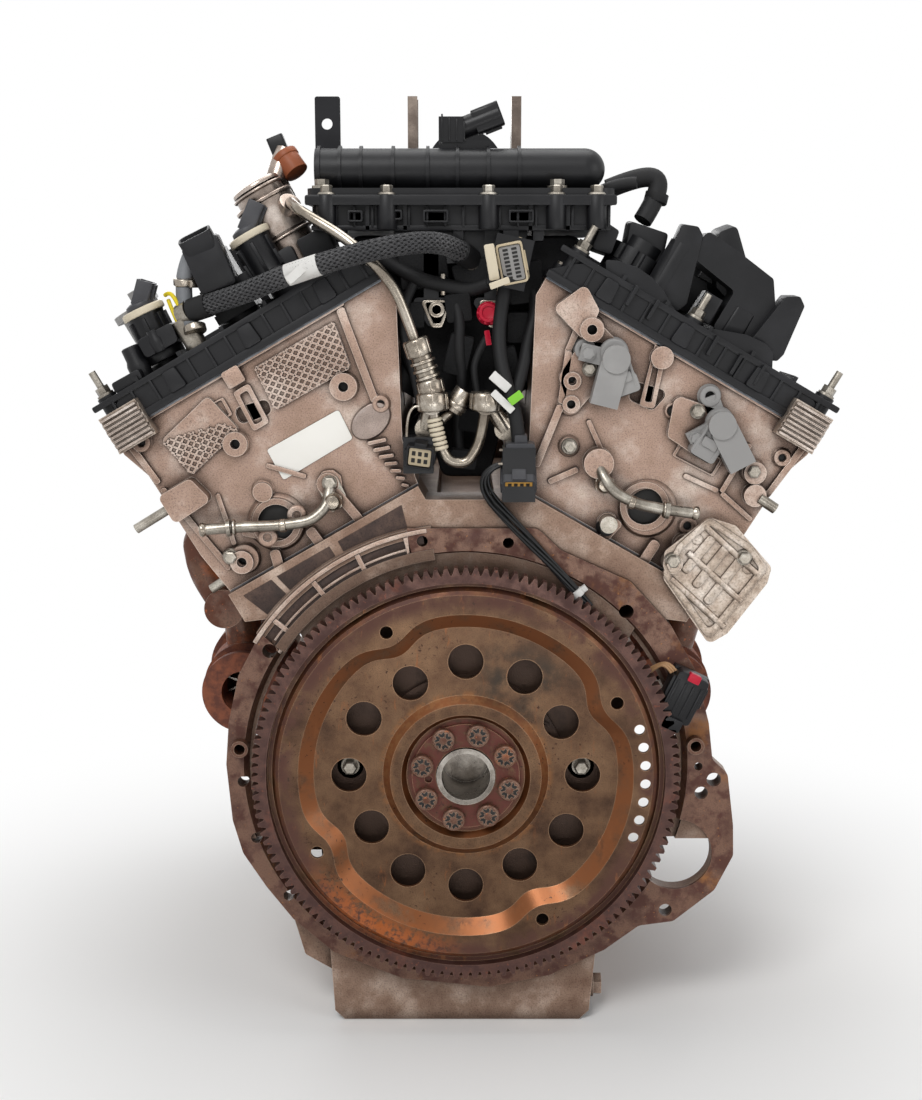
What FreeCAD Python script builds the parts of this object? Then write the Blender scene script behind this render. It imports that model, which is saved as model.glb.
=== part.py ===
import FreeCAD, Part
import math
import os

# V6 petrol engine with two cam-shafts a bank and direct injection, seen from its flexplate end.
# Millimetres. The origin is on the crankshaft axis at the rear face of the block.
# +X is to the right of a viewer at the flexplate, +Y runs to the front of the engine, +Z is up.
# A bank place is (side, m, y, n): side -1 is the left bank and +1 the right one, n is the distance
# from the crank along the bank's cylinder axis, and m is the distance outboard of that axis.

V = FreeCAD.Vector

# Driving sizes of the crank train
bore_d = 92.5
stroke = 86.7
rod_length = 152.8
piston_pin_to_crown = 28.0
piston_skirt = 24.0
piston_pin_d = 22.0
bank_half_angle = 30.0
bore_pitch = 106.0
first_bore_y = {-1: 82.0, 1: 109.0}
main_d = 67.0
crank_pin_d = 56.0
main_width = 27.0
first_main_y = 42.5
web_thickness = 14.0
counterweight_r = 77.0
running_clear = 0.05
gap = 0.3

# Driving sizes of the castings
front_wall = 26.0
block_length = first_main_y + 3 * bore_pitch + main_width / 2 + front_wall
deck_n = 224.5
deck_inner_m = -85.0
deck_outer_m = 94.0
gasket_t = 1.0
rail_n = 380.0
rail_inner_m = -146.0
rail_outer_m = 109.0
head_rear_y = 12.0
pan_rail_z = -62.0
pan_bottom_z = -226.0
skirt_half = 122.0
cover_wall = 4.0
timing_depth = 40.0
cam_n = 364.0
cam_m = {"intake": -74.0, "exhaust": 43.0}
cam_journal_d = 26.0
cam_base_r = 15.5
cam_lift = 8.5
phaser_r = 48.0
phaser_width = 26.0

# Driving sizes of the flexplate end
plate_t = 3.0
plate_opening_r = 180.5
gear_teeth = 136
gear_module = 2.54
gear_width = 12.0
gear_front_y = -16.0
gear_bore_r = 163.0
flex_t = 3.0
flex_back_y = -15.0
flex_proud = 9.0
flex_hub_r = 44.7
step_foot_r = 125.0
step_width = 12.0
step_dip = 11.0
pad_angles = [27.5, 117.5, 207.5, 297.5]
pad_hole_r = 138.0
pad_hole_d = 10.5
window_r = 96.0
window_pad_r = 90.0
window_d = 29.0
timing_hole_r = 147.0
timing_hole_d = 8.6
spline_bolt_pcd = 74.0
spline_bolt_first = 29.5
spline_bolt_head_d = 18.0
pilot_bore_r = 20.0
crank_flange_r = 47.5

# Plate between engine and gearbox, as (x, z) corners and (x, z, radius) holes
plate_points = [(-49, 203), (58, 203), (77, 185), (134, 159), (168, 122), (189, 84), (201, 40), (205, 8),
                (218, -4), (224, -49), (225, -76), (210, -107), (176, -135), (147, -139), (118, -161),
                (72, -184), (20, -195), (-54, -187), (-112, -163), (-146, -133), (-168, -104),
                (-187, -74), (-195, -45), (-199, 4), (-196, 40), (-187, 80), (-168, 116)]
plate_holes = [(-35.2, 192.5, 4.5), (34.4, 191.0, 4.5), (131.0, 134.0, 6.0), (193.5, 2.1, 3.5),
               (206.7, -9.4, 6.0), (196.5, -21.0, 5.5), (169.1, -125.0, 5.5), (-160.9, 101.0, 6.0),
               (-185.5, -11.1, 4.5), (-175.5, -60.5, 4.5), (-149.5, -112.0, 4.5)]
dowel_places = [(189.5, 22.3), (-186.5, 19.6)]
dowel_r = 7.0
dowel_root_r = 6.4
dowel_proud = 9.0
starter_place = (176.0, -75.0)
starter_r = 31.0
lip_w = 6.0
lip_depth = 4.0

# Main caps, seal and drain
cap_half = 62.0
cap_width = 24.0
cap_depth = 46.0
cap_bolt_x = 49.0
cap_seat = 20.0
seal_bore_r = 60.0
drain_r = 7.0

# Heads, as (m, n) corners of their rear outline
head_points = [(deck_outer_m, deck_n + gasket_t), (deck_inner_m, deck_n + gasket_t), (-92, 262), (-128, 330),
               (rail_inner_m, 364), (rail_inner_m, rail_n), (rail_outer_m, rail_n), (rail_outer_m, 364),
               (101, 340), (99, 262)]
plug_well_r = 12.0
port_r = 16.0

# Cam covers and what stands on them
cover_top_n = rail_n + 28
chest_top_n = rail_n + 50
chest_y = block_length - 6
chest_end = block_length + timing_depth
coil_m = -22.0
stud_places = {-1: [(98, 26)], 1: [(-132, 26), (-26, 26), (98, 26)]}
cover_bolt_y = [60.0, 165.0, 270.0, 375.0]
pump_m = -88.0
pump_y = 70.0
pump_base_n = cover_top_n + 12
cap_m = -87.0
cap_y = 62.0
filler_r = 15.0

# Fuel side, with the routes of its tubes
fuel_route = [(-142, 50, 462), (-138, 32, 459), (-131, 17, 454), (-117, 9, 446), (-100, 4, 436), (-84, -1, 424),
              (-68, -3, 409), (-55, -3, 392), (-47, -2, 372), (-40, -1, 352)]
crossover_route = [(-27, -1, 309), (-25, -2, 290), (-22, -3, 272), (-13, -3, 257), (1, -3, 256), (10, -3, 270),
                   (14, -2, 289), (16, -1, 309)]
rail_x = {-1: -32.0, 1: 32.0}
rail_z = 282.0
rail_r = 9.0

# Intake and throttle
runner_x = 28.0
runner_r = 19.0
low_z = 439.0
flange_z = 466.0
throttle_x = 0.0
tube_z = flange_z + 22.0
throttle_z = tube_z + 16.0
bracket_top_z = flange_z + 83.0
throttle_r = 30.0
throttle_y = 362.0

# Hose and wire routes
hose_route = [(-220, 22, 376), (-198, 12, 383), (-172, 3, 391), (-143, -5, 403), (-112, -12, 413), (-82, -15, 421),
              (-54, -13, 427), (-29, -1, 430), (-8, 19, 426), (4, 38, 416)]
harness_route = [(31, 15, 394), (28, 14, 377), (26, 11, 356), (28, 5, 334), (34, -2, 312), (41, -7, 290),
                 (42, -7, 270)]
sensor_wire_route = [(28.9, -8, 256), (19, -8, 253), (14, -8, 243), (18, -8, 230), (36, -9, 210), (53, -9.5, 192), (70, -9.5, 174),
                     (86, -9.5, 156), (100, -9.5, 140)]

# Turbochargers, water pump and chains
turbo_x = {-1: -200.0, 1: 184.0}
turbo_z = 34.0
turbo_y = 108.0
turbine_r = 18.5
pump_axis_z = 168.0
chain_planes = {-1: block_length + 8, 1: block_length + 16}
chain_t = 6.0
sprocket_t = 4.0
crank_wheel_r = phaser_r / 2

# The two banks
banks = ((-1, "left"), (1, "right"))

nodes = {}


def add(name, *shapes):
    """Keep the solids of one sub-part under its name."""
    solids = []
    for shape in shapes:
        solids.extend(shape.Solids)
    for solid in solids:
        if not solid.isValid() or solid.Volume < 1:
            print("check the solid of", name)
    nodes[name] = solids


def join(shapes):
    """Fuse a list of solids into one shape."""
    first = shapes[0]
    if len(shapes) == 1:
        return first
    return first.fuse(shapes[1:]).removeSplitter()


def minus(shape, tools):
    """Cut every tool from the shape."""
    for tool in tools:
        shape = shape.cut(tool)
    return shape


def clear_of(shape, names):
    """Cut away what other sub-parts already fill, so the pieces meet face to face."""
    box = shape.BoundBox
    for name in names:
        for solid in nodes[name]:
            if box.intersect(solid.BoundBox):
                shape = shape.cut(solid)
    return shape


def largest(shape):
    """Keep the largest solid of a cut."""
    return sorted(shape.Solids, key=lambda s: s.Volume)[-1]


def box(x0, x1, y0, y1, z0, z1):
    return Part.makeBox(x1 - x0, y1 - y0, z1 - z0, V(x0, y0, z0))


def rod(p, q, r):
    """A round bar of radius r from p to q."""
    p, q = V(*p), V(*q)
    return Part.makeCylinder(r, (q - p).Length, p, q - p)


def cone(p, q, r0, r1):
    p, q = V(*p), V(*q)
    return Part.makeCone(r0, r1, (q - p).Length, p, q - p)


def along_y(x, z, y0, y1, r):
    return Part.makeCylinder(r, y1 - y0, V(x, y0, z), V(0, 1, 0))


def ring_y(x, z, y0, y1, outer, inner):
    return along_y(x, z, y0, y1, outer).cut(along_y(x, z, y0 - 1, y1 + 1, inner))


def corner_points(points, radius, i):
    """The two tangent points and the middle of the arc at one corner."""
    p = points[i]
    a = points[i - 1] - p
    b = points[(i + 1) % len(points)] - p
    half = 0.5 * a.getAngle(b)
    reach = min(radius / math.tan(half), 0.45 * a.Length, 0.45 * b.Length)
    r = reach * math.tan(half)
    a.normalize()
    b.normalize()
    mid = a + b
    mid.normalize()
    centre = p + mid * (r / math.sin(half))
    return p + a * reach, centre - mid * r, p + b * reach


def outline(points, y, radius):
    """A closed wire in a plane across Y, from (x, z) corners with round arcs."""
    ring = [V(x, y, z) for x, z in points]
    if radius <= 0:
        return Part.makePolygon(ring + [ring[0]])
    edges = []
    corners = [corner_points(ring, radius, i) for i in range(len(ring))]
    for i, (start, mid, end) in enumerate(corners):
        edges.append(Part.Arc(start, mid, end).toShape())
        following = corners[(i + 1) % len(corners)][0]
        if (following - end).Length > 1e-4:
            edges.append(Part.LineSegment(end, following).toShape())
    return Part.Wire(edges)


def prism(points, y0, y1, radius=0.0):
    """A solid with an (x, z) outline, from y0 to y1."""
    face = Part.Face(outline(points, y0, radius))
    return face.extrude(V(0, y1 - y0, 0))


def slab(points, z0, z1, radius=0.0):
    """A solid with an (x, y) outline, from z0 to z1."""
    solid = prism([(x, -y) for x, y in points], 0, z1 - z0, radius)
    solid.rotate(V(0, 0, 0), V(1, 0, 0), 90)
    solid.translate(V(0, 0, z0))
    return solid


def turned(profile):
    """A solid of revolution about the crank axis, from (radius, y) corners."""
    ring = [V(r, y, 0) for r, y in profile]
    face = Part.Face(Part.makePolygon(ring + [ring[0]]))
    return face.revolve(V(0, 0, 0), V(0, 1, 0), 360)


def at(side, m, y, n):
    """The place of a bank point."""
    s = math.sin(math.radians(bank_half_angle))
    c = math.cos(math.radians(bank_half_angle))
    return (side * (s * n + c * m), y, c * n - s * m)


def to_bank(shape, side):
    """Tilt a shape that was drawn with x = side * m and z = n onto its bank."""
    tilted = shape.copy()
    tilted.rotate(V(0, 0, 0), V(0, 1, 0), side * bank_half_angle)
    return tilted


def bank_prism(side, points, y0, y1, radius=0.0):
    return to_bank(prism([(side * m, n) for m, n in points], y0, y1, radius), side)


def bank_box(side, m0, m1, y0, y1, n0, n1):
    return bank_prism(side, [(m0, n0), (m1, n0), (m1, n1), (m0, n1)], y0, y1)


def bank_rod(side, m, y, n0, n1, r):
    """A round bar along the cylinder axis of a bank."""
    return rod(at(side, m, y, n0), at(side, m, y, n1), r)


def hexagon(p, q, across):
    """A six-sided bar from p to q, across its flats."""
    p, q = V(*p), V(*q)
    axis = q - p
    r = across / math.sqrt(3)
    flat = Part.makePolygon([V(r * math.cos(a), r * math.sin(a), 0)
                             for a in [math.radians(60 * k) for k in range(7)]])
    solid = Part.Face(flat).extrude(V(0, 0, axis.Length))
    solid.Placement = FreeCAD.Placement(p, FreeCAD.Rotation(V(0, 0, 1), axis))
    return solid


def flange_bolt(p, q, across=10.0, head=7.0, washer_r=8.0, shank_r=0.0, shank=0.0):
    """A hexagon bolt head with its flange: p is the seat, q points out of it."""
    p, q = V(*p), V(*q)
    axis = q - p
    axis.normalize()
    parts = [rod(tuple(p), tuple(p + axis * 2), washer_r),
             hexagon(tuple(p), tuple(p + axis * head), across)]
    if shank > 0:
        parts.append(rod(tuple(p - axis * shank), tuple(p), shank_r))
    return join(parts)


def path(points, name=""):
    """Straight runs joined by tangent arcs."""
    ring = [V(*p) for p in points]
    edges = []
    radii = []
    here = ring[0]
    for i in range(1, len(ring) - 1):
        a = ring[i - 1] - ring[i]
        b = ring[i + 1] - ring[i]
        half = 0.5 * a.getAngle(b)
        reach = 0.45 * min(a.Length, b.Length)
        r = reach * math.tan(half)
        radii.append(round(r, 1))
        a.normalize()
        b.normalize()
        mid = a + b
        mid.normalize()
        centre = ring[i] + mid * (r / math.sin(half))
        start = ring[i] + a * reach
        edges.append(Part.LineSegment(here, start).toShape())
        edges.append(Part.Arc(start, centre - mid * r, ring[i] + b * reach).toShape())
        here = ring[i] + b * reach
    edges.append(Part.LineSegment(here, ring[-1]).toShape())
    if name:
        print(name, "bend radii", radii)
    return Part.Wire(edges)


def pipe(points, r, name=""):
    """A round tube's outer solid along a path."""
    wire = path(points, name)
    start = V(*points[0])
    ahead = V(*points[1]) - start
    section = Part.Wire(Part.Circle(start, ahead, r).toShape())
    return Part.Solid(wire.makePipeShell([section], True, False))


# Flexplate, ring gear and what clamps them

def wavy_wire(grow, y):
    """The pressed step line of the flexplate, which dips inward round each converter bolt."""
    points = []
    for k in range(72):
        angle = k * 5.0
        r = step_foot_r + grow
        for pad in pad_angles:
            away = (angle - pad + 180) % 360 - 180
            r -= step_dip * math.exp(-(away / 9.0) ** 2)
        a = math.radians(angle)
        points.append(V(r * math.cos(a), y, r * math.sin(a)))
    curve = Part.BSplineCurve()
    curve.interpolate(Points=points, PeriodicFlag=True)
    return Part.Wire(curve.toShape())


def bowl(grow, y_back, y_face):
    """The recess inside the step line, wider towards the viewer."""
    return Part.makeLoft([wavy_wire(grow, y_back), wavy_wire(grow + step_width, y_face)], True)


def flexplate():
    web_face = flex_back_y - flex_t
    rim_face = web_face - flex_proud
    hub_face = web_face - 6
    rim_r = gear_bore_r
    skin = turned([(24, flex_back_y), (rim_r - 10, flex_back_y), (rim_r - 10, rim_face), (24, rim_face)])
    inside = bowl(0, web_face, rim_face - 0.01)
    skin = skin.cut(inside)
    behind = turned([(step_foot_r - 20, flex_back_y + 1), (rim_r - 9, flex_back_y + 1),
                     (rim_r - 9, rim_face + flex_t), (step_foot_r - 20, rim_face + flex_t)])
    behind = behind.cut(bowl(flex_t, flex_back_y + 1, rim_face + flex_t - 0.01))
    skin = skin.cut(behind)
    groove = turned([(rim_r - 10, rim_face), (rim_r - 7, rim_face + 2), (rim_r - 4, rim_face + 7),
                     (rim_r, rim_face + 7), (rim_r, gear_front_y - 2), (rim_r - 6, gear_front_y - 2),
                     (rim_r - 10, rim_face + flex_t)])
    hub = turned([(flex_hub_r, web_face + 1), (flex_hub_r + 4, web_face), (flex_hub_r + 8, hub_face),
                  (62, hub_face), (68, web_face), (68, web_face + 1)])
    hollow = turned([(flex_hub_r + 7, flex_back_y + 1), (flex_hub_r + 9.5, hub_face + flex_t),
                     (60.5, hub_face + flex_t), (63.5, flex_back_y + 1)])
    disc = join([skin, groove, hub]).cut(hollow)
    cuts = [along_y(0, 0, rim_face - 5, flex_back_y + 5, pilot_bore_r + 4.5)]
    for k in range(12):
        a = math.radians(30 * k)
        r = window_pad_r if k % 3 == 1 else window_r
        cuts.append(along_y(r * math.cos(a), r * math.sin(a), rim_face - 5, flex_back_y + 5, window_d / 2))
    for pad in pad_angles:
        a = math.radians(pad)
        cuts.append(along_y(pad_hole_r * math.cos(a), pad_hole_r * math.sin(a), rim_face - 5,
                            flex_back_y + 5, pad_hole_d / 2))
    for k in range(7):
        a = math.radians(16.3 - 6.1 * k)
        cuts.append(along_y(timing_hole_r * math.cos(a), timing_hole_r * math.sin(a), rim_face - 5,
                            flex_back_y + 5, timing_hole_d / 2))
    for x, z in spline_bolt_places():
        cuts.append(along_y(x, z, rim_face - 5, flex_back_y + 5, 5.2))
    return minus(disc, cuts)


def spline_bolt_places():
    places = []
    for k in range(8):
        a = math.radians(spline_bolt_first + 45 * k)
        places.append((spline_bolt_pcd / 2 * math.cos(a), spline_bolt_pcd / 2 * math.sin(a)))
    return places


def clamp_disc():
    """The hard washer disc under the eight bolts, with the locating pin hole."""
    face = flex_back_y - flex_t
    disc = ring_y(0, 0, face - 3, face, flex_hub_r - 0.4, pilot_bore_r + 4.5)
    cuts = [along_y(x, z, face - 5, face + 1, 5.2) for x, z in spline_bolt_places()]
    cuts.append(along_y(-30.6, -2.5, face - 5, face + 1, 3.0))
    return minus(disc, cuts)


def spline_bolts():
    seat = flex_back_y - flex_t - 3
    bolts = []
    for x, z in spline_bolt_places():
        head = along_y(x, z, seat - 6, seat, spline_bolt_head_d / 2)
        teeth = [(x + r * math.cos(math.radians(15 * k)), z + r * math.sin(math.radians(15 * k)))
                 for k in range(24) for r in ([5.6] if k % 2 else [4.4])]
        head = head.cut(prism(teeth, seat - 7, seat - 2))
        bolts.append(join([head, along_y(x, z, seat, 6, 5.0)]))
    return bolts


def ring_gear():
    pitch_r = gear_teeth * gear_module / 2
    tip_r = pitch_r + gear_module
    root_r = pitch_r - 1.3 * gear_module
    step = 2 * math.pi / gear_teeth
    points = []
    for k in range(gear_teeth):
        for part, r in ((-0.42, root_r), (-0.16, tip_r), (0.16, tip_r), (0.42, root_r)):
            a = step * (k + part)
            points.append((r * math.cos(a), r * math.sin(a)))
    gear = prism(points, gear_front_y - gear_width, gear_front_y)
    return gear.cut(along_y(0, 0, gear_front_y - gear_width - 1, gear_front_y + 1, gear_bore_r))


# Crankshaft, with the pins of a pair split by 60 degrees

def pin_angle(side, row):
    """The angle of a crank pin from straight up, at the rest position."""
    return -120.0 * row + (0 if side < 0 else 60.0) + 15.0


def pin_place(side, row):
    a = math.radians(pin_angle(side, row))
    return stroke / 2 * math.sin(a), stroke / 2 * math.cos(a)


def crank_web(pins, away, y0, y1):
    """A web round the main journal and its pin, with a counterweight on the far side."""
    parts = [along_y(0, 0, y0, y1, main_d / 2 + 6)]
    for x, z in pins:
        parts.append(along_y(x, z, y0, y1, crank_pin_d / 2 + 7))
    weight = along_y(0, 0, y0, y1, counterweight_r)
    side_cut = box(-200, 200, y0 - 1, y1 + 1, 12, 200)
    side_cut.rotate(V(0, 0, 0), V(0, 1, 0), away)
    parts.append(weight.cut(side_cut))
    return join(parts)


def crankshaft():
    parts = []
    front_end = block_length + timing_depth + 36
    for k in range(4):
        y = first_main_y + k * bore_pitch
        parts.append(along_y(0, 0, y - main_width / 2, y + main_width / 2, main_d / 2 - running_clear))
    half_pin = 11.0
    for row in range(3):
        left_y = first_bore_y[-1] + row * bore_pitch
        right_y = first_bore_y[1] + row * bore_pitch
        for side, y in ((-1, left_y), (1, right_y)):
            x, z = pin_place(side, row)
            parts.append(along_y(x, z, y - half_pin, y + half_pin, crank_pin_d / 2))
        rear = first_main_y + row * bore_pitch + main_width / 2
        front = rear + bore_pitch - main_width
        left_pin = pin_place(-1, row)
        right_pin = pin_place(1, row)
        parts.append(crank_web([left_pin], pin_angle(-1, row), rear, left_y - half_pin))
        parts.append(crank_web([right_pin], pin_angle(1, row), right_y + half_pin, front))
        fly = join([along_y(left_pin[0], left_pin[1], left_y + half_pin, right_y - half_pin, 33),
                    along_y(right_pin[0], right_pin[1], left_y + half_pin, right_y - half_pin, 33)])
        parts.append(fly)
    parts.append(along_y(0, 0, 8, first_main_y - main_width / 2, main_d / 2 + 4))
    parts.append(along_y(0, 0, flex_back_y, 8, crank_flange_r))
    last = first_main_y + 3 * bore_pitch + main_width / 2
    parts.append(along_y(0, 0, last, last + 10, main_d / 2 + 3))
    parts.append(along_y(0, 0, last, front_end, 19))
    shaft = join(parts)
    cuts = [along_y(0, 0, flex_back_y - 1, 22, pilot_bore_r)]
    for x, z in spline_bolt_places():
        cuts.append(along_y(x, z, flex_back_y - 1, 7, 5.0 + running_clear))
    return minus(shaft, cuts)


def pilot_collar():
    """The spigot that stands out of the crank flange through the flexplate."""
    return ring_y(0, 0, flex_back_y - flex_t - 5, flex_back_y, pilot_bore_r + 4, pilot_bore_r)


def piston_rest_n(side, row):
    """Height of a piston's pin above the crank axis at the rest position."""
    swing = math.radians(pin_angle(side, row) - side * bank_half_angle)
    r = stroke / 2
    return r * math.cos(swing) + math.sqrt(rod_length ** 2 - (r * math.sin(swing)) ** 2)


def piston(side, row):
    y = first_bore_y[side] + row * bore_pitch
    pin_n = piston_rest_n(side, row)
    crown = pin_n + piston_pin_to_crown
    foot = pin_n - piston_skirt
    r = bore_d / 2 - running_clear
    body = bank_rod(side, 0, y, foot, crown, r)
    cuts = [bank_rod(side, 0, y, foot - 1, crown - 9, r - 6)]
    for depth in (5.0, 10.0, 15.5):
        outer = bank_rod(side, 0, y, crown - depth - 1.6, crown - depth, r + 1)
        cuts.append(outer.cut(bank_rod(side, 0, y, crown - depth - 2, crown - depth + 1, r - 2.5)))
    cuts.append(bank_rod(side, 0, y, crown - 2.5, crown + 1, 24))
    body = minus(body, cuts)
    bosses = []
    for sign in (-1, 1):
        boss = rod(at(side, 0, y + sign * 16, pin_n), at(side, 0, y + sign * 41, pin_n), piston_pin_d / 2 + 6)
        web = bank_box(side, -piston_pin_d / 2 - 4, piston_pin_d / 2 + 4, min(y + sign * 16, y + sign * 41),
                       max(y + sign * 16, y + sign * 41), pin_n, crown - 8)
        bosses.append(join([boss, web]).common(bank_rod(side, 0, y, foot, crown - 7, r - 3)))
    body = join([body] + bosses)
    pin_hole = rod(at(side, 0, y - 60, pin_n), at(side, 0, y + 60, pin_n), piston_pin_d / 2)
    body = body.cut(pin_hole)
    pin = rod(at(side, 0, y - 32, pin_n), at(side, 0, y + 32, pin_n), piston_pin_d / 2)
    pin = pin.cut(rod(at(side, 0, y - 61, pin_n), at(side, 0, y + 61, pin_n), piston_pin_d / 2 - 5))
    return [body, pin]


# Block, main caps, seal and plate


def separator_plate():
    plate = prism(plate_points, -plate_t, 0, 9.0)
    lip = turned([(plate_opening_r, lip_depth), (plate_opening_r + lip_w - 2, -plate_t),
                  (plate_opening_r + lip_w + 1, -plate_t), (plate_opening_r + lip_w + 1, 0),
                  (plate_opening_r + lip_w - 1, 0), (plate_opening_r + 2, lip_depth)])
    plate = plate.cut(along_y(0, 0, -10, 10, plate_opening_r + lip_w))
    gap_wedge = prism([(-45, 178), (-52, 240), (-260, 240), (-260, 118), (-170, 118), (-147, 96)], -10, 10)
    lip = lip.cut(gap_wedge).common(prism(plate_points, -10, 10, 9.0))
    plate = join([plate.cut(gap_wedge), lip])
    cuts = [along_y(x, z, -10, 10, r) for x, z, r in plate_holes]
    cuts += [along_y(x, z, -10, 10, dowel_root_r + 0.1) for x, z in dowel_places]
    cuts.append(along_y(starter_place[0], starter_place[1], -10, 10, starter_r))
    return largest(minus(plate, cuts))


def dowels():
    """Hollow dowels that line up the gearbox, pressed in the block and pan flanges."""
    found = []
    for x, z in dowel_places:
        outer = along_y(x, z, -plate_t - dowel_proud, -plate_t, dowel_r)
        root = along_y(x, z, -plate_t, 9.9, dowel_root_r)
        bore = along_y(x, z, -plate_t - dowel_proud - 1, 11, dowel_r - 2.5)
        found.append(join([outer, root]).cut(bore))
    return found


def flange_prism(y0, y1):
    """The gearbox flange outline, open where the ring gear turns."""
    flange = prism(plate_points, y0, y1, 9.0)
    step = along_y(0, 0, y0 - 1, lip_depth + 0.5, plate_opening_r + lip_w)
    return minus(flange, [along_y(0, 0, y0 - 1, y1 + 1, plate_opening_r - 3), step])


def bank_casting(side):
    """One bank of the block, from the crank-case to the deck."""
    shape = [(deck_inner_m, deck_n), (deck_outer_m, deck_n), (deck_outer_m, deck_n - 26),
             (bore_d / 2 + 14, deck_n - 40), (bore_d / 2 + 12, 92), (40, 60), (-60, 60),
             (-60, 150), (deck_inner_m, deck_n - 30)]
    return bank_prism(side, shape, 0, block_length)


def cylinder_block():
    rail_top = pan_rail_z + 12
    case = prism([(-skirt_half, pan_rail_z), (skirt_half, pan_rail_z), (skirt_half, 20), (150, 78),
                  (112, 112), (-112, 112), (-150, 78), (-skirt_half, 20)], 0, block_length)
    rail = box(-skirt_half - 14, skirt_half + 14, 0, block_length, pan_rail_z, rail_top)
    valley = box(-46, 46, 0, block_length, 60, 196)
    shelf = prism([(-56, 178), (60, 178), (60, 226), (-54, 226)], 0, 40, 6)
    flange = flange_prism(0, 14).common(box(-230, 230, -1, 20, pan_rail_z, 230))
    outer_rib = ring_y(0, 0, -2, 14, 207, 199).common(wedge(98, 146, -3, 15))
    inner_rib = ring_y(0, 0, -4, 14, 188, 179).common(wedge(98, 146, -5, 15))
    pocket = ring_y(0, 0, 2, 14, 207, 179).common(wedge(98, 146, 1, 15))
    pocket = pocket.cut(ring_y(0, 0, 1, 8, 199, 188))
    body = join([case, rail, valley, shelf, bank_casting(-1), bank_casting(1), flange, pocket,
                 outer_rib, inner_rib] + arc_spokes())
    cuts = []
    for side in (-1, 1):
        for row in range(3):
            y = first_bore_y[side] + row * bore_pitch
            cuts.append(bank_rod(side, 0, y, 60, deck_n + 1, bore_d / 2))
    bays = [(first_main_y + k * bore_pitch + main_width / 2 - 2, first_main_y + (k + 1) * bore_pitch
             - main_width / 2 + 2) for k in range(3)]
    for y0, y1 in bays:
        cuts.append(along_y(0, 0, y0, y1, counterweight_r + 6))
        cuts.append(box(-skirt_half + 8, skirt_half - 8, y0, y1, pan_rail_z - 1, 0))
    front_wall_y = bays[-1][1]
    cuts.append(along_y(0, 0, -1, block_length + 1, main_d / 2))
    cuts.append(along_y(0, 0, -1, 10, seal_bore_r))
    cuts.append(along_y(0, 0, -1, first_main_y - main_width / 2 + 2, main_d / 2 + 8))
    cuts.append(along_y(0, 0, front_wall_y + main_width - 4, block_length + 1, main_d / 2 + 8))
    for k in range(4):
        y = first_main_y + k * bore_pitch
        cuts.append(box(-cap_half, cap_half, y - cap_width / 2, y + cap_width / 2, pan_rail_z - 1, 0))
        cuts.append(box(-skirt_half + 8, skirt_half - 8, y - main_width / 2 + 2, y + main_width / 2 - 2,
                        pan_rail_z - 1, -cap_depth + 4))
    cuts.append(box(-60, 60, 60, block_length - 30, 214, 260))
    body = minus(body, cuts)
    holes = [along_y(x, z, -10, 40, r) for x, z, r in plate_holes if z > pan_rail_z + 8]
    holes += [along_y(x, z, -1, 10, dowel_root_r) for x, z in dowel_places]
    return largest(minus(body, holes + nodes["separator_plate"]))


def wedge(a0, a1, y0, y1):
    """A pie slice about the crank axis between two angles."""
    far = 400
    points = [(0, 0)]
    for k in range(5):
        a = math.radians(a0 + (a1 - a0) * k / 4)
        points.append((far * math.cos(a), far * math.sin(a)))
    return prism(points, y0, y1)


def arc_spokes():
    """Short webs between the two ribs of the open flange."""
    spokes = []
    for angle in (104, 116, 128, 141):
        spoke = box(180, 203, 0, 14, -3.5, 3.5)
        spoke.rotate(V(0, 0, 0), V(0, 1, 0), -angle)
        spokes.append(spoke)
    return spokes


def main_caps():
    caps = []
    for k in range(4):
        y = first_main_y + k * bore_pitch
        outline_points = [(-cap_half, 0), (cap_half, 0), (cap_half, -18), (40, -cap_depth), (-40, -cap_depth),
                          (-cap_half, -18)]
        cap = prism(outline_points, y - cap_width / 2, y + cap_width / 2)
        cap = cap.cut(along_y(0, 0, 0, block_length + 20, main_d / 2))
        for x in (-cap_bolt_x, cap_bolt_x):
            cap = cap.cut(rod((x, y, -cap_seat), (x, y, -cap_depth - 5), 9))
        caps.append(cap)
    return caps


def cap_bolts():
    bolts = []
    for k in range(4):
        y = first_main_y + k * bore_pitch
        for x in (-cap_bolt_x, cap_bolt_x):
            bolts.append(flange_bolt((x, y, -cap_seat), (x, y, -cap_seat - 8), 12, 8, 8))
    return bolts


def seal_retainer():
    body = turned([(crank_flange_r + gap, -6), (82, -6), (82, 0), (seal_bore_r, 0), (seal_bore_r, 8),
                   (crank_flange_r + 4, 8), (crank_flange_r + gap, 6)])
    return body


def retainer_bolts():
    bolts = []
    for k in range(6):
        a = math.radians(30 + 60 * k)
        x, z = 73 * math.cos(a), 73 * math.sin(a)
        bolts.append(flange_bolt((x, -6, z), (x, -12, z), 8, 5, 6.5))
    return bolts


# Oil pan, pick-up and plugs

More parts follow.
